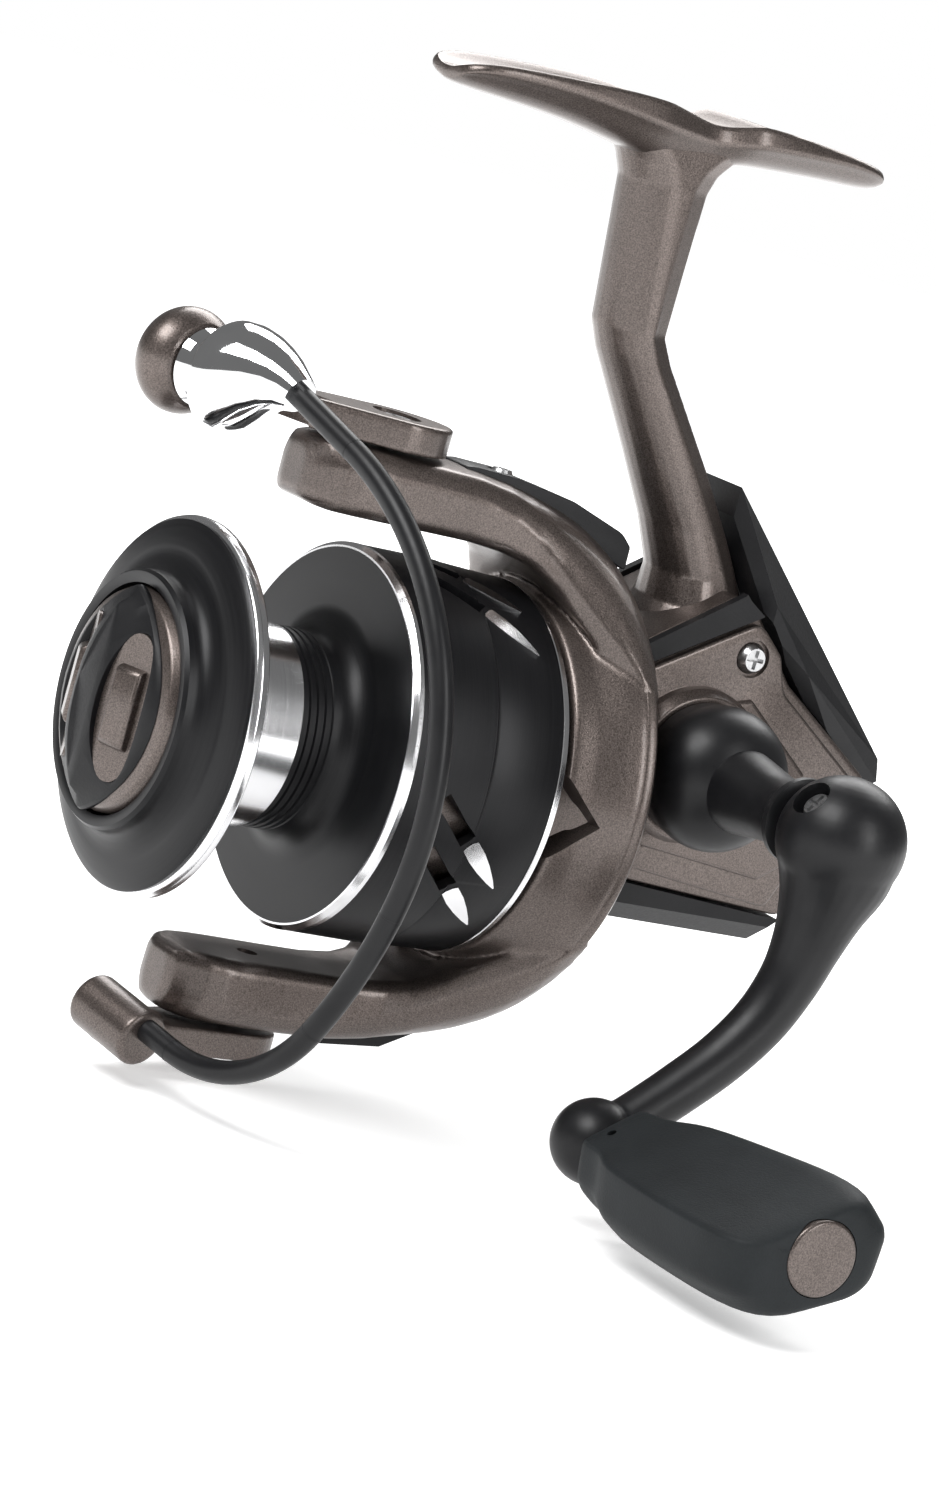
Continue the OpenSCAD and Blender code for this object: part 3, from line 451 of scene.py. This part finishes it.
for y, z in ((28.2, -73.8), (47.6, -89), (14.6, -101.6)):
    cut(cover, turned("recess", [(0, 11.75), (2.5, 11.75), (2.7, 16), (0, 16)], (0, y, z), "X", 48))
settle(cover, "frame", bronze_paint, "side_cover")
carry(black_plastic, "rear_guard", "bottom_guard", "top_trim", "left_cap")
carry(steel, "cover_screws", "guard_screws")


# ---------------------------------------------------------------- Works inside the case
# The handle's gear drives the brass pinion and the crosswind gear, whose pin carries the
# steel slider and the main shaft to and fro. The one-way clutch is pressed round the
# neck: a hardened ring, its rollers and sleeve, and a moulded plate held by screws.
brass = Finish("brass", Metallic=1.0)
turning = brass.grain(900, 4, 0.6, (1, 5, 1))
brass.shade((0.45, 0.31, 0.11), (0.62, 0.46, 0.2), turning)
brass.put("Roughness", 0.24 + turning * 0.2)
brass.relief(turning, 0.00002, 0.5)
carry(brass, "pinion", "crosswind_gear")
carry(steel, "drive_gear", "drive_bearings", "pinion_bearing", "main_shaft", "slider",
      "slider_screw", "slider_rail", "clutch_ring", "clutch_rollers", "clutch_sleeve",
      "clutch_screws")
carry(black_plastic, "clutch_plate")


# ---------------------------------------------------------------- Rotor
# A one-piece casting: a cup over the clutch, a flared rim, and two arms that sweep
# forward from it to carry the bail. Each flank has a triangular opening by the rim.
# A steel nut holds it on the pinion, and a small screw locks the nut.
def flare(y):
    """Radius of the rim's outer face at a place along the shaft."""
    faces = [(-14, 23.5), (-6, 23.8), (-1.4, 24.6), (1, 25.6), (4.4, 27.2), (7, 28.0), (8.6, 27.9)]
    for (a, r), (b, s) in zip(faces, faces[1:]):
        if y <= b:
            return r + (s - r) * max(0, (y - a) / (b - a))
    return faces[-1][1]


rim_profile = [(22.4, -2.2), (24.5, -1.9), (25.5, 1), (27.2, 4.4), (28, 6.4), (28, 8.0), (27.3, 8.6),
               (25.6, 8.6), (24.3, 4), (21.6, 0.6)]
rotor_rim = turned("rotor_rim", rounded(rim_profile, 0.6))
cup_profile = [(3.5, -20.4), (20.6, -20.4), (22.2, -19), (22.2, 0), (23.4, 1.4), (21.4, 1.4),
               (20.4, 0), (20.4, -18.4), (3.5, -18.4)]
rotor_cup = turned("rotor_cup", rounded(cup_profile, 0.3), steps=96)
arm_sections = [  # y, half width, outer radius, inner radius, share of the rim's curve
    (-39.0, 2.6, 36.6, 30.6, 0), (-38.6, 4.2, 37.4, 29.9, 0), (-37.4, 5.9, 38.0, 29.4, 0),
    (-35.4, 7.3, 38.3, 29.2, 0), (-32.6, 8.1, 38.3, 29.2, 0), (-29, 8.4, 38.3, 29.2, 0),
    (-22, 8.4, 38.2, 29.2, 0), (-15, 8.5, 38.0, 29.2, 0.02), (-10, 9.0, 37.5, 28.9, 0.08),
    (-6.5, 10.2, 36.9, 28.3, 0.2), (-3.5, 12.2, 36.2, 26.8, 0.35), (-1, 14.6, 35.5, 25.2, 0.5),
    (1.5, 17.2, 34.6, 24.6, 0.64), (4, 19.8, 33.3, 24.6, 0.76), (6.2, 21.8, 31.9, 25.0, 0.88),
    (8.0, 22.6, 30.2, 25.4, 0.97), (9.0, 22.4, 28.6, 26.2, 1)]
arms = []
for side in (1, -1):
    rings = []
    for y, w, out_r, in_r, share in arm_sections:
        ring = []
        for k in range(-8, 9):
            s = k / 8
            x = w * math.copysign(abs(s) ** 0.85, s)
            flat = out_r - 0.9 * s * s - (2.0 if abs(k) == 8 else 0.7 if abs(k) == 7 else 0)
            hoop = (math.sqrt(max(1, flare(y) ** 2 - x * x))
                    + (out_r - flare(y)) * (1 - abs(s) ** 2.6))
            ring.append((side * x, y, shaft_z + side * (flat * (1 - share) + hoop * share)))
        for k in range(8, -9, -1):
            s = k / 8
            x = w * 0.97 * math.copysign(abs(s) ** 0.9, s)
            flat = in_r + (1.2 if abs(k) == 8 else 0.3 if abs(k) == 7 else 0)
            hoop = math.sqrt(max(1, (in_r - 0.5) ** 2 - x * x)) if in_r > abs(x) else in_r * 0.4
            ring.append((side * x, y, shaft_z + side * (flat * (1 - share) + hoop * share)))
        rings.append(ring)
    arms.append(loft("rotor_arm", rings))
rotor_skin = join("rotor_skin", rotor_rim, rotor_cup, *arms)
fuse(rotor_skin, 0.36, 7)
skirt_room = [(22.3, -60), (28.2, -60), (28.4, -7), (25.6, -1.6), (24.6, -2.2), (22.3, -2.6)]
cut(rotor_skin, turned("skirt_room", skirt_room))
pivot_y = pivot("bail_flip").y
bore_r, bore_from, bore_to = 1.4, 28, 41.8
for side in (1, -1):
    notch = [(-3.6, shaft_z + side * 6.6), (2.9, shaft_z - side * 0.5), (-3.6, shaft_z - side * 8.0)]
    cut(rotor_skin, plate("notch", notch, side * 17, side * 31))
    bore = [(0, side * bore_from), (bore_r, side * bore_from), (bore_r, side * bore_to),
            (0, side * bore_to)]
    cut(rotor_skin, turned("bore", bore, (0, pivot_y, shaft_z), "Z", 32))
band_profile = [(28.0, 6.9), (28.15, 7.1), (28.15, 8.1), (27.5, 8.72), (27.0, 8.72), (27.0, 8.4),
                (27.6, 7.6)]
rotor_skin = join("rotor_skin", rotor_skin, turned("rim_band", band_profile))
settle(rotor_skin, "rotor", bronze_paint, "rotor", degrees=38)
carry(steel, "rotor_nut", "nut_screw")


# ---------------------------------------------------------------- Rotor covers
# A long black cap let into the outer face of the bail-spring arm, following it down
# to the rim and held by one small screw. The balance arm keeps its flush cover.
# Under the cap lie the coiled steel spring and the moulded lever that trips the bail.
def reshape(piece, place):
    """Moves each point of a piece, by its position in millimetres."""
    for v in piece.data.vertices:
        v.co = place(v.co * 1000) / 1000
    edit(piece, outward)


cap_outline = [(-16.4, 35.2), (-16.4, 38.2), (-14.6, 38.42), (-8.5, 38.2), (0, 36.9), (8.0, 34.3),
               (9.6, 32.8), (9.7, 29.6), (6.0, 31.0), (-6.2, 33.9)]
cap_corners = [0.2, 0.8, 1, 6, 6, 3, 0.8, 0.4, 0.2, 0.2]
cap = plate("arm_cover_skin", rounded(cap_outline, cap_corners), -4.5, 4.5)
reshape(cap, lambda p: Vector((p.x * (1.04 + 0.02 * p.y), p.y, shaft_z + p.z)))
ease(cap, 0.7, 40)
cut(cap, turned("seat", [(0, 37.4), (2.0, 37.4), (2.3, 41), (0, 41)], (0, -9, shaft_z), "Z", 32))
settle(cap, "rotor", black_plastic, "arm_cover")
carry(black_plastic, "balance_cover", "trip_lever")
carry(steel, "arm_cover_screw", "balance_screw", "bail_spring")


# ---------------------------------------------------------------- Spool
# Turned and anodised black: a dished front lip, a grooved arbor, a flat rear flange
# and a long skirt whose slots are milled through, their bright ends running back.
# A polished lip ring and an arbor band are pressed on, and felts and plates sit inside.
black_anodised = Finish("black_anodised", Metallic=0.2, Specular_IOR_Level=0.26)
lathe = black_anodised.grain(40, 4, 0.7, (1, 160, 1))
black_anodised.shade((0.004, 0.004, 0.005), (0.010, 0.010, 0.011), lathe)
black_anodised.put("Roughness", 0.3 + lathe * 0.14)
black_anodised.relief(lathe, 0.00002, 0.5)

polished_silver = Finish("polished_silver", Metallic=1.0)
lathe = polished_silver.grain(30, 4, 0.7, (1, 260, 1))
polished_silver.shade((0.78, 0.78, 0.8), (0.92, 0.92, 0.93), lathe)
polished_silver.put("Roughness", 0.12 + lathe * 0.12)
polished_silver.relief(lathe, 0.00001, 0.4)

felt = Finish("felt", Sheen_Weight=0.4)
wool = felt.grain(1800, 5, 0.7)
felt.shade((0.02, 0.019, 0.017), (0.05, 0.046, 0.04), wool)
felt.put("Roughness", 0.8 + wool * 0.15)
felt.relief(wool, 0.0002, 0.8)


def arc(centre, reach, first, last, step, turn=0):
    """Points of a circle or an ellipse, at every step of degrees from first up to last."""
    angles = [turn + math.radians(a) for a in range(first, last, step)]
    return [(centre[0] + reach[0] * math.cos(a), centre[1] + reach[1] * math.sin(a)) for a in angles]


arbor_end = -35.3
groove_pitch = 1.15
spool_profile = [(12.2, -51.2), (14.8, -51.2), (14.8, -54.3), (15.3, -54.5), (16.2, -54.5), (16.6, -54)]
spool_profile += arc((20.6, -53.2), (-3.9, 2.5), 0, 91, 10)
spool_profile += [(22.4, -50.1), (23.4, -49.75), (23.7, -49.5), (23.6, -49), (20.4, -48.6),
                  (20.4, -47.2), (13.6, -46.6), (12.6, -46.4), (12.6, arbor_end)]
for k in range(4):
    spool_profile += [(r, arbor_end + y + k * groove_pitch)
                      for r, y in ((13.0, 0.1), (13.0, 0.75), (12.7, 0.85), (12.7, 1.1))]
spool_profile += arc((17.0, -30.6), (-4.1, 4.0), 0, 91, 10)
spool_profile += [(20, -26.55), (24.3, -26.4), (24.5, -26.0), (24.6, -25.4), (25.05, -25.2),
                  (25.1, -24.8), (25.1, -14), (24.85, -13.75), (25.0, -13.4), (24.55, -3.7),
                  (24.3, -2.9), (23.1, -2.9), (23.6, -14), (23.6, -23), (22.6, -24.2), (10.4, -24.2),
                  (10.4, -38.6), (6.2, -38.6), (6.2, -33.4), (4.02, -33.4), (4.02, -41.6),
                  (12.2, -41.6)]
spool_skin = turned("spool_skin", spool_profile, steps=180)


skirt_r = 25


def strip(name, line, widths, low, high):
    """A tapering strip that follows the skirt's surface from radius low to high."""
    rings = []
    for (angle, y), half in zip(line, widths):
        turn = math.degrees(half / skirt_r)
        ring = []
        tail, tip = (angle - turn * 0.35, y - half), (angle + turn, y + half * 0.35)
        for (a, place), r in ((tail, low), (tip, low), (tip, high), (tail, high)):
            a = math.radians(a)
            ring.append((r * math.cos(a), place, shaft_z + r * math.sin(a)))
        rings.append(ring)
    return loft(name, rings)


slot_lines = (  # angle and place of a slot's start, its end, and the end of its blade
    (-2.5, -19.6, -13.7, -13.9, -26.7, -7.5), (-18.8, -19.1, -29.8, -13.4, -43.4, -7.0))
blade_shares = (0.04, 0.1, 0.35, 0.6, 0.85, 1.0)
blade_widths = (0.5, 1.15, 1.2, 0.95, 0.5, 0.08)
slots, blades = [], []
for quarter in range(4):
    spin = quarter * 90
    for a0, y0, a1, y1, a2, y2 in slot_lines:
        slots.append(strip("slot", [(a0 + spin, y0), (a1 + spin, y1)], (1.25, 1.25), 22, 27))
        line = [(a1 + spin + (a2 - a1) * t, y1 + (y2 - y1) * t) for t in blade_shares]
        blades.append(strip("blade", line, blade_widths, 24.3, 25.12))
cut(spool_skin, join("slot_tool", *slots))
settle(spool_skin, "spool", black_anodised, "spool", degrees=28)

rear_profile = [(24.62, -3.75), (24.68, -3.6), (24.55, -2.9), (24.3, -2.72), (23.1, -2.72),
                (23.1, -3.0), (24.3, -3.1)]
edge_profile = [(24.3, -26.42), (24.55, -26.4), (25.12, -25.75), (25.14, -25.15), (24.8, -25.1),
                (24.4, -25.6)]
trim = join("skirt_brightwork", join("skirt_blades", *blades),
            turned("rear_ring", rear_profile, steps=180), turned("edge_ring", edge_profile, steps=180))
settle(trim, "spool", polished_silver)
lip_profile = [(20.6, -47.0), (20.6, -48.7), (23.5, -49.15), (24.2, -49.0), (24.45, -48.2),
               (24.3, -47.2), (23.4, -46.85)]
lip = turned("lip_skin", rounded(lip_profile, [0.2, 0.2, 0.4, 0.5, 0.6, 0.5, 0.4]), steps=180)
settle(lip, "spool", polished_silver, "lip_ring")
carry(polished_silver, "arbor_band")
carry(felt, "drag_felts")
carry(steel, "drag_plates", "washer_clip")
carry(brass, "spool_bush")
carry(black_plastic, "click_gear")


# ---------------------------------------------------------------- Drag knob
# A bronze disc under a moulded black grip: the grip is lens-shaped with a ridge along
# it, and each sloping face has an oval window with a bronze pad and a small nib.
# A brass nut on the shaft presses the washers through a steel spring.
disc_profile = [(0, -55.2), (12.6, -55.4), (13.8, -55.0), (14.45, -53.8), (14.45, -51.9),
                (11.4, -51.6), (11.4, -49.6), (4.4, -49.6), (4.4, -54.4), (0, -54.4)]
disc = turned("drag_disc", rounded(disc_profile, [0, 0.5, 0.8, 0.8, 0.4, 0.2, 0.2, 0.2, 0.2, 0]))
settle(disc, "drag", bronze_paint, "knob_inlay")

grip_levels = ((12.4, 14.6, -54.8), (12.5, 14.7, -55.5), (12.0, 14.4, -56.0), (7.0, 13.0, -57.9),
               (3.4, 11.9, -59.2), (2.2, 11.2, -59.45))  # half width, half height, y
lens = [math.sin(math.radians(a)) for a in range(-90, 91, 9)]
rings = []
for w, h, y in grip_levels:
    sag = 1.4 if y < -56.5 else 0
    rings.append([(sign * w * (1 - t * t) ** 0.8, y + sag * t * t, shaft_z + h * t)
                  for sign, run in ((1, lens), (-1, lens[-2:0:-1])) for t in run])
grip_bar = loft("drag_grip", rings)


def on_slope(side, u, v, depth):
    """A point over one sloping face of the grip: across it, up it, and out from it."""
    out, over = Vector((side * 0.40, -0.9165, 0)), Vector((side * 0.9165, 0.40, 0))
    return tuple(Vector((side * 6.6, -57.6, shaft_z)) + over * u + Vector((0, 0, v)) + out * depth)


def oval(name, side, half_w, half_h, low, high):
    ring = [(half_w * math.copysign(abs(c) ** 0.9, c), half_h * s)
            for c, s in arc((0, 0), (1, 1), 0, 360, 9)]
    return loft(name, [[on_slope(side, u, v, d) for u, v in ring] for d in (low, high)])


corners = ((-1, -1), (1, -1), (1, 1), (-1, 1))
nib_levels = ((2.2, 5.4, -1.2), (2.0, 4.9, 0.1), (1.6, 4.2, 0.35))  # half width, half height, depth
pads = []
for side in (-1, 1):
    cut(grip_bar, oval("window", side, 3.9, 9.6, -1.5, 4))
    nib = loft("nib", [[on_slope(side, u * w, v * h, d) for u, v in corners] for w, h, d in nib_levels])
    ease(nib, 0.4, 40, 2)
    pads += [oval("pad", side, 3.85, 9.55, -1.8, -0.9), nib]
ease(grip_bar, 0.4, 35, 2)
settle(grip_bar, "drag", black_plastic, "drag_knob", degrees=30)
settle(join("drag_pads", *pads), "drag", bronze_paint)
carry(brass, "drag_nut")
carry(steel, "drag_spring")


# ---------------------------------------------------------------- Handle
# A cast handle in black enamel: a domed boss that covers the drive shaft, a ball-shaped
# fold joint on a steel screw, and a bent arm that ends in a ball for the knob's post.
black_enamel = Finish("black_enamel", Specular_IOR_Level=0.3)
skin = black_enamel.grain(900, 3)
black_enamel.shade((0.004, 0.004, 0.005), (0.009, 0.009, 0.010), black_enamel.grain(120, 4))
black_enamel.put("Roughness", 0.34 + skin * 0.12)
black_enamel.relief(skin, 0.00002, 0.5)

fold_at, knob_at = pivot("crank_fold"), pivot("knob_spin")
dome = [(0, 15.5), (9.0, 15.5)]
dome += [(9.6 * math.cos(math.radians(a)) ** 0.8, 19.8 + 7.6 * math.sin(math.radians(a)))
         for a in range(-20, 66, 8)]
dome += [(5.0, 30.2), (4.5, 33.6), (4.4, 37.4), (4.9, 39.0), (5.6, 39.7), (5.6, 40.6), (4.8, 41.0),
         (0, 41.0)]
boss = turned("boss_skin", dome, (0, drive_y, drive_z), "X", 96)
shaft_room = [(0, 12), (3.55, 12), (3.55, 37.5), (0, 37.5)]
cut(boss, turned("shaft_room", shaft_room, (0, drive_y, drive_z), "X", 48))
tongue = [(drive_y + a * 2.6, drive_z + b * 2.4) for a, b in corners]
boss = join("boss_skin", boss, plate("tongue", tongue, 40.5, 46))
settle(boss, "drive", black_enamel, "handle_boss")

arm_line = [  # y, z, radius
    (22.7, -89.0, 8.0), (23.0, -93.4, 7.3), (22.6, -98.0, 5.6), (22.0, -102.6, 4.5),
    (20.9, -107.6, 3.9), (18.4, -113.2, 3.6), (14.3, -118.6, 3.4), (9.3, -123.4, 3.3),
    (4.4, -127.6, 3.2), (-0.8, -131.7, 3.1)]


def along(points, t):
    """A point on a smooth curve through the given ones."""
    i = min(int(t), len(points) - 2)
    u = t - i
    p = [Vector(points[max(0, min(len(points) - 1, i + k))]) for k in (-1, 0, 1, 2)]
    return 0.5 * (2 * p[1] + (p[2] - p[0]) * u + (2 * p[0] - 5 * p[1] + 4 * p[2] - p[3]) * u ** 2
                  + (3 * p[1] - p[0] - 3 * p[2] + p[3]) * u ** 3)


def tube(name, points, steps, count=24):
    """A round bar along a smooth path of (y, z, radius) in the handle's plane."""
    rings, last = [], len(points) - 1
    for k in range(steps + 1):
        t = k / steps * last
        y, z, r = along(points, t)
        ahead, behind = along(points, min(t + 0.05, last)), along(points, max(t - 0.05, 0))
        d = Vector((0, ahead[0] - behind[0], ahead[1] - behind[1])).normalized()
        side = Vector((0, -d.z, d.y))
        rings.append([tuple(Vector((fold_at.x, y, z)) + Vector((r * math.cos(a), 0, 0))
                            + side * r * math.sin(a))
                      for a in (2 * math.pi * q / count for q in range(count))])
    return loft(name, rings)


def ball(at, radius, segments):
    start()
    bpy.ops.mesh.primitive_uv_sphere_add(segments=segments, ring_count=segments // 2,
                                         radius=radius / 1000, location=at / 1000)
    bpy.ops.object.transform_apply(location=True, rotation=True, scale=True)
    return bpy.context.object


def rod(at, turn, radius, length, sides):
    start()
    bpy.ops.mesh.primitive_cylinder_add(vertices=sides, radius=radius / 1000, depth=length / 1000,
                                        location=at / 1000, rotation=turn)
    bpy.ops.object.transform_apply(location=True, rotation=True, scale=True)
    return bpy.context.object


hub_r, end_ball_r = 8.3, 5.5
crank_skin = join("crank_skin", tube("crank_bar", arm_line, 48), ball(fold_at, hub_r, 48),
                  ball(Vector((fold_at.x, knob_at.y, knob_at.z)), end_ball_r, 40))
fuse(crank_skin, 0.33, 6)
fold_way = Vector((0, -0.8, 0.6))
screw_turn = fold_way.to_track_quat("Z", "Y").to_euler()
cut(crank_skin, rod(fold_at + fold_way * 10.2, screw_turn, 2.6, 9, 40))
settle(crank_skin, "crank", black_enamel, "handle_arm", degrees=60)
carry(steel, "fold_screw", "knob_post")


# ---------------------------------------------------------------- Knob
# A moulded rubbery knob that turns on the arm's post: a round collar that flares into
# a broad, flattened grip with a soft ridge, closed by a round bronze plug. It runs on a
# pressed-in brass bush.
soft_rubber = Finish("soft_rubber", Specular_IOR_Level=0.2)
fine = soft_rubber.grain(3200, 3, 0.6)
soft_rubber.shade((0.008, 0.0095, 0.0105), (0.017, 0.020, 0.022),
                  soft_rubber.grain(140, 5) * 0.6 + fine * 0.4)
soft_rubber.put("Roughness", 0.5 + fine * 0.16)
soft_rubber.relief(fine, 0.00005, 0.6)

roll = math.radians(20)
wide, thin = Vector((0, math.cos(roll), math.sin(roll))), Vector((0, -math.sin(roll), math.cos(roll)))
grip_sections = [  # x, centre along wide, half width, half thickness, share of the paddle's form
    (55.4, 0, 5.6, 5.6, 0), (55.9, 0, 6.5, 6.5, 0), (59, 0, 6.8, 6.8, 0), (61.2, 0, 7.0, 6.9, 0.1),
    (63.4, 0.2, 8.2, 7.0, 0.55), (66, 0.4, 9.3, 7.1, 0.9), (72, 1.0, 10.2, 7.2, 1),
    (79, 1.7, 11.1, 7.3, 1), (85, 2.4, 11.7, 7.4, 1), (89.6, 2.9, 11.8, 7.3, 1),
    (93.0, 3.2, 11.3, 7.0, 0.95), (94.9, 3.4, 10.2, 6.5, 0.85), (95.9, 3.5, 8.4, 5.9, 0.7),
    (96.2, 3.6, 6.2, 5.2, 0.4)]
paddle = rounded([(-0.92, 0.62), (0.72, 0.98), (1.0, 0.1), (0.72, -0.98), (-0.62, -1.0), (-1.0, -0.3)],
                 [0.10, 0.35, 0.6, 0.5, 0.5, 0.7], 7)
rings = []
for x, mid, w, h, share in grip_sections:
    ring = []
    for u, v in paddle:
        a = math.atan2(v, u)
        u = (math.cos(a) * (1 - share) + u * share) * w + mid
        v = (math.sin(a) * (1 - share) + v * share) * h
        ring.append(tuple(Vector((x, knob_at.y, knob_at.z)) + wide * u + thin * v))
    rings.append(ring)
grip = loft("grip_skin", rings)
modify(grip, "SUBSURF", levels=1, render_levels=1)
axle = Vector((0, knob_at.y, knob_at.z))
plug_at = axle + wide * 3.6 + thin * 0.2
post_hole = [(0, 54), (3.0, 54), (3.0, 84), (0, 84)]
plug_hole = [(0, 95.0), (4.85, 95.0), (4.85, 98), (0, 98)]
cut(grip, turned("post_hole", post_hole, axle, "X", 32))
cut(grip, turned("plug_hole", plug_hole, plug_at, "X", 64))
cut(grip, rod(axle + Vector((58.4, -5, 4.5)), (math.radians(48), 0, 0), 0.6, 20, 24))
settle(grip, "knob", soft_rubber, "knob_grip", degrees=38)
plug_profile = rounded([(0, 95.1), (4.7, 95.1), (4.78, 96.1), (4.5, 96.4), (0, 96.5)],
                       [0, 0.1, 0.3, 0.4, 0])
settle(turned("plug_skin", plug_profile, plug_at, "X", 64), "knob", bronze_paint, "knob_cap")
carry(brass, "knob_bush")


# ---------------------------------------------------------------- Bail arm and line roller
# The bronze arm that pivots on the rotor and ends in a round housing for the roller;
# beside the roller a chromed nose tapers to hold the bail wire. The wire is steel rod
# in black enamel, and the roller turns on a pin.
chrome = Finish("chrome", Metallic=1.0)
haze = chrome.grain(300, 3)
chrome.shade((0.86, 0.87, 0.88), (0.93, 0.93, 0.94), haze)
chrome.put("Roughness", 0.03 + haze * 0.05)

lean = math.radians(15)
nose_way = Vector((math.cos(lean), math.sin(lean), 0))
nose_side = Vector((-nose_way.y, nose_way.x, 0))
roller_at = Vector((-7.4, -51.9, shaft_z + 42.2))
arm_low, arm_thick = shaft_z + 38.55, 3.9


def rounded_plate(name, centres, low, high):
    """A plate round a chain of circles, each given as x, y and radius."""
    links = []
    for (x0, y0, r0), (x1, y1, r1) in zip(centres, centres[1:]):
        turn = math.atan2(y1 - y0, x1 - x0)
        outline = arc((x1, y1), (r1, r1), -90, 91, 12, turn)
        outline += arc((x0, y0), (r0, r0), 90, 271, 12, turn)
        links.append(plate(name, outline, low, high, "Z"))
    return join(name, *links)


arm_plate = rounded_plate("bail_arm_skin", [(0, pivot_y, 7.5), (-2.4, -37.5, 5.6), (-8.2, -49.5, 5.4)],
                          arm_low, arm_low + arm_thick)
house = ball(Vector((0, 0, 0)), 1, 48)
reshape(house, lambda p: roller_at + nose_way * (p.x * 5.0 - 2.4) + nose_side * p.y * 7.2
        + Vector((0, 0, 1)) * p.z * 6.9)
bail_arm = join("bail_arm_skin", arm_plate, house)
fuse(bail_arm, 0.3, 8)
face = turned("face", [(0, 0), (12, 0), (12, 12), (0, 12)], (0, 0, 0), "X", 64)
reshape(face, lambda p: roller_at + nose_way * (p.x + 0.7) + nose_side * p.y + Vector((0, 0, 1)) * p.z)
cut(bail_arm, face)
for outline, low in ((arc((0, pivot_y), (4.0, 2.9), 0, 360, 12), arm_low + 2.6),
                     (arc((0, pivot_y), (1.4, 1.4), 0, 360, 20), arm_low - 2)):
    cut(bail_arm, plate("pivot_seat", outline, low, arm_low + 9, "Z"))
settle(bail_arm, "bail", bronze_paint, "bail_arm", degrees=50)

wire_plane = Matrix.Translation((0, -50, shaft_z)) @ Matrix.Rotation(lean, 4, "Z")


def in_wire_plane(degrees):
    """A direction in the wire's plane, from straight up."""
    a = math.radians(degrees)
    return wire_plane.to_3x3() @ Vector((math.sin(a), 0, math.cos(a)))


wire_way, wire_from = in_wire_plane(109.3), wire_plane @ Vector((11.5, 0, 43))
nose_sections = [  # along the nose, radius, pull towards the wire
    (6.0, 7.0, 0.0), (6.6, 7.25, 0.02), (8.4, 7.1, 0.08), (10.4, 6.3, 0.22), (12.4, 5.2, 0.42),
    (14.6, 4.0, 0.66), (16.6, 3.0, 0.86), (18.4, 2.35, 1.0)]
rings = []
for x, r, pull in nose_sections:
    centre = (roller_at + nose_way * x).lerp(wire_from + wire_way * (x - 18.6), pull)
    way = nose_way.lerp(wire_way, pull).normalized()
    u = way.cross(Vector((0, 0, 1))).normalized()
    w = u.cross(way)
    turns = [2 * math.pi * q / 48 for q in range(48)]
    rings.append([tuple(centre + u * r * math.cos(a) + w * r * math.sin(a)) for a in turns])
settle(loft("nose_skin", rings), "bail", chrome, "roller_nose", degrees=40)
carry(chrome, "line_roller")
carry(steel, "roller_pin", "pivot_screws")
carry(black_enamel, "bail_wire")


# ---------------------------------------------------------------- Bail foot
# The lower end of the bail: a flat bronze link cast in one with a small barrel that
# grips the wire's end. It turns on a screw in the other rotor arm.
link = rounded_plate("bail_foot_skin", [(0, pivot_y, 6.3), (4.6, -42.5, 3.6)],
                     shaft_z - 42.2, shaft_z - 38.6)
barrel_turn = in_wire_plane(280).to_track_quat("Z", "Y").to_euler()
barrel = rod(Vector((9.2, -47.5, -135)), barrel_turn, 3.7, 10.8, 48)
ease(barrel, 0.5, 50, 2)
throat = rounded_plate("throat", [(4.6, -42.5, 3.4), (8.2, -47.0, 2.6)], -138.2, -134.2)
bail_foot = join("bail_foot_skin", link, barrel, throat)
fuse(bail_foot, 0.26, 5)
settle(bail_foot, "bail", bronze_paint, "bail_foot", degrees=50)
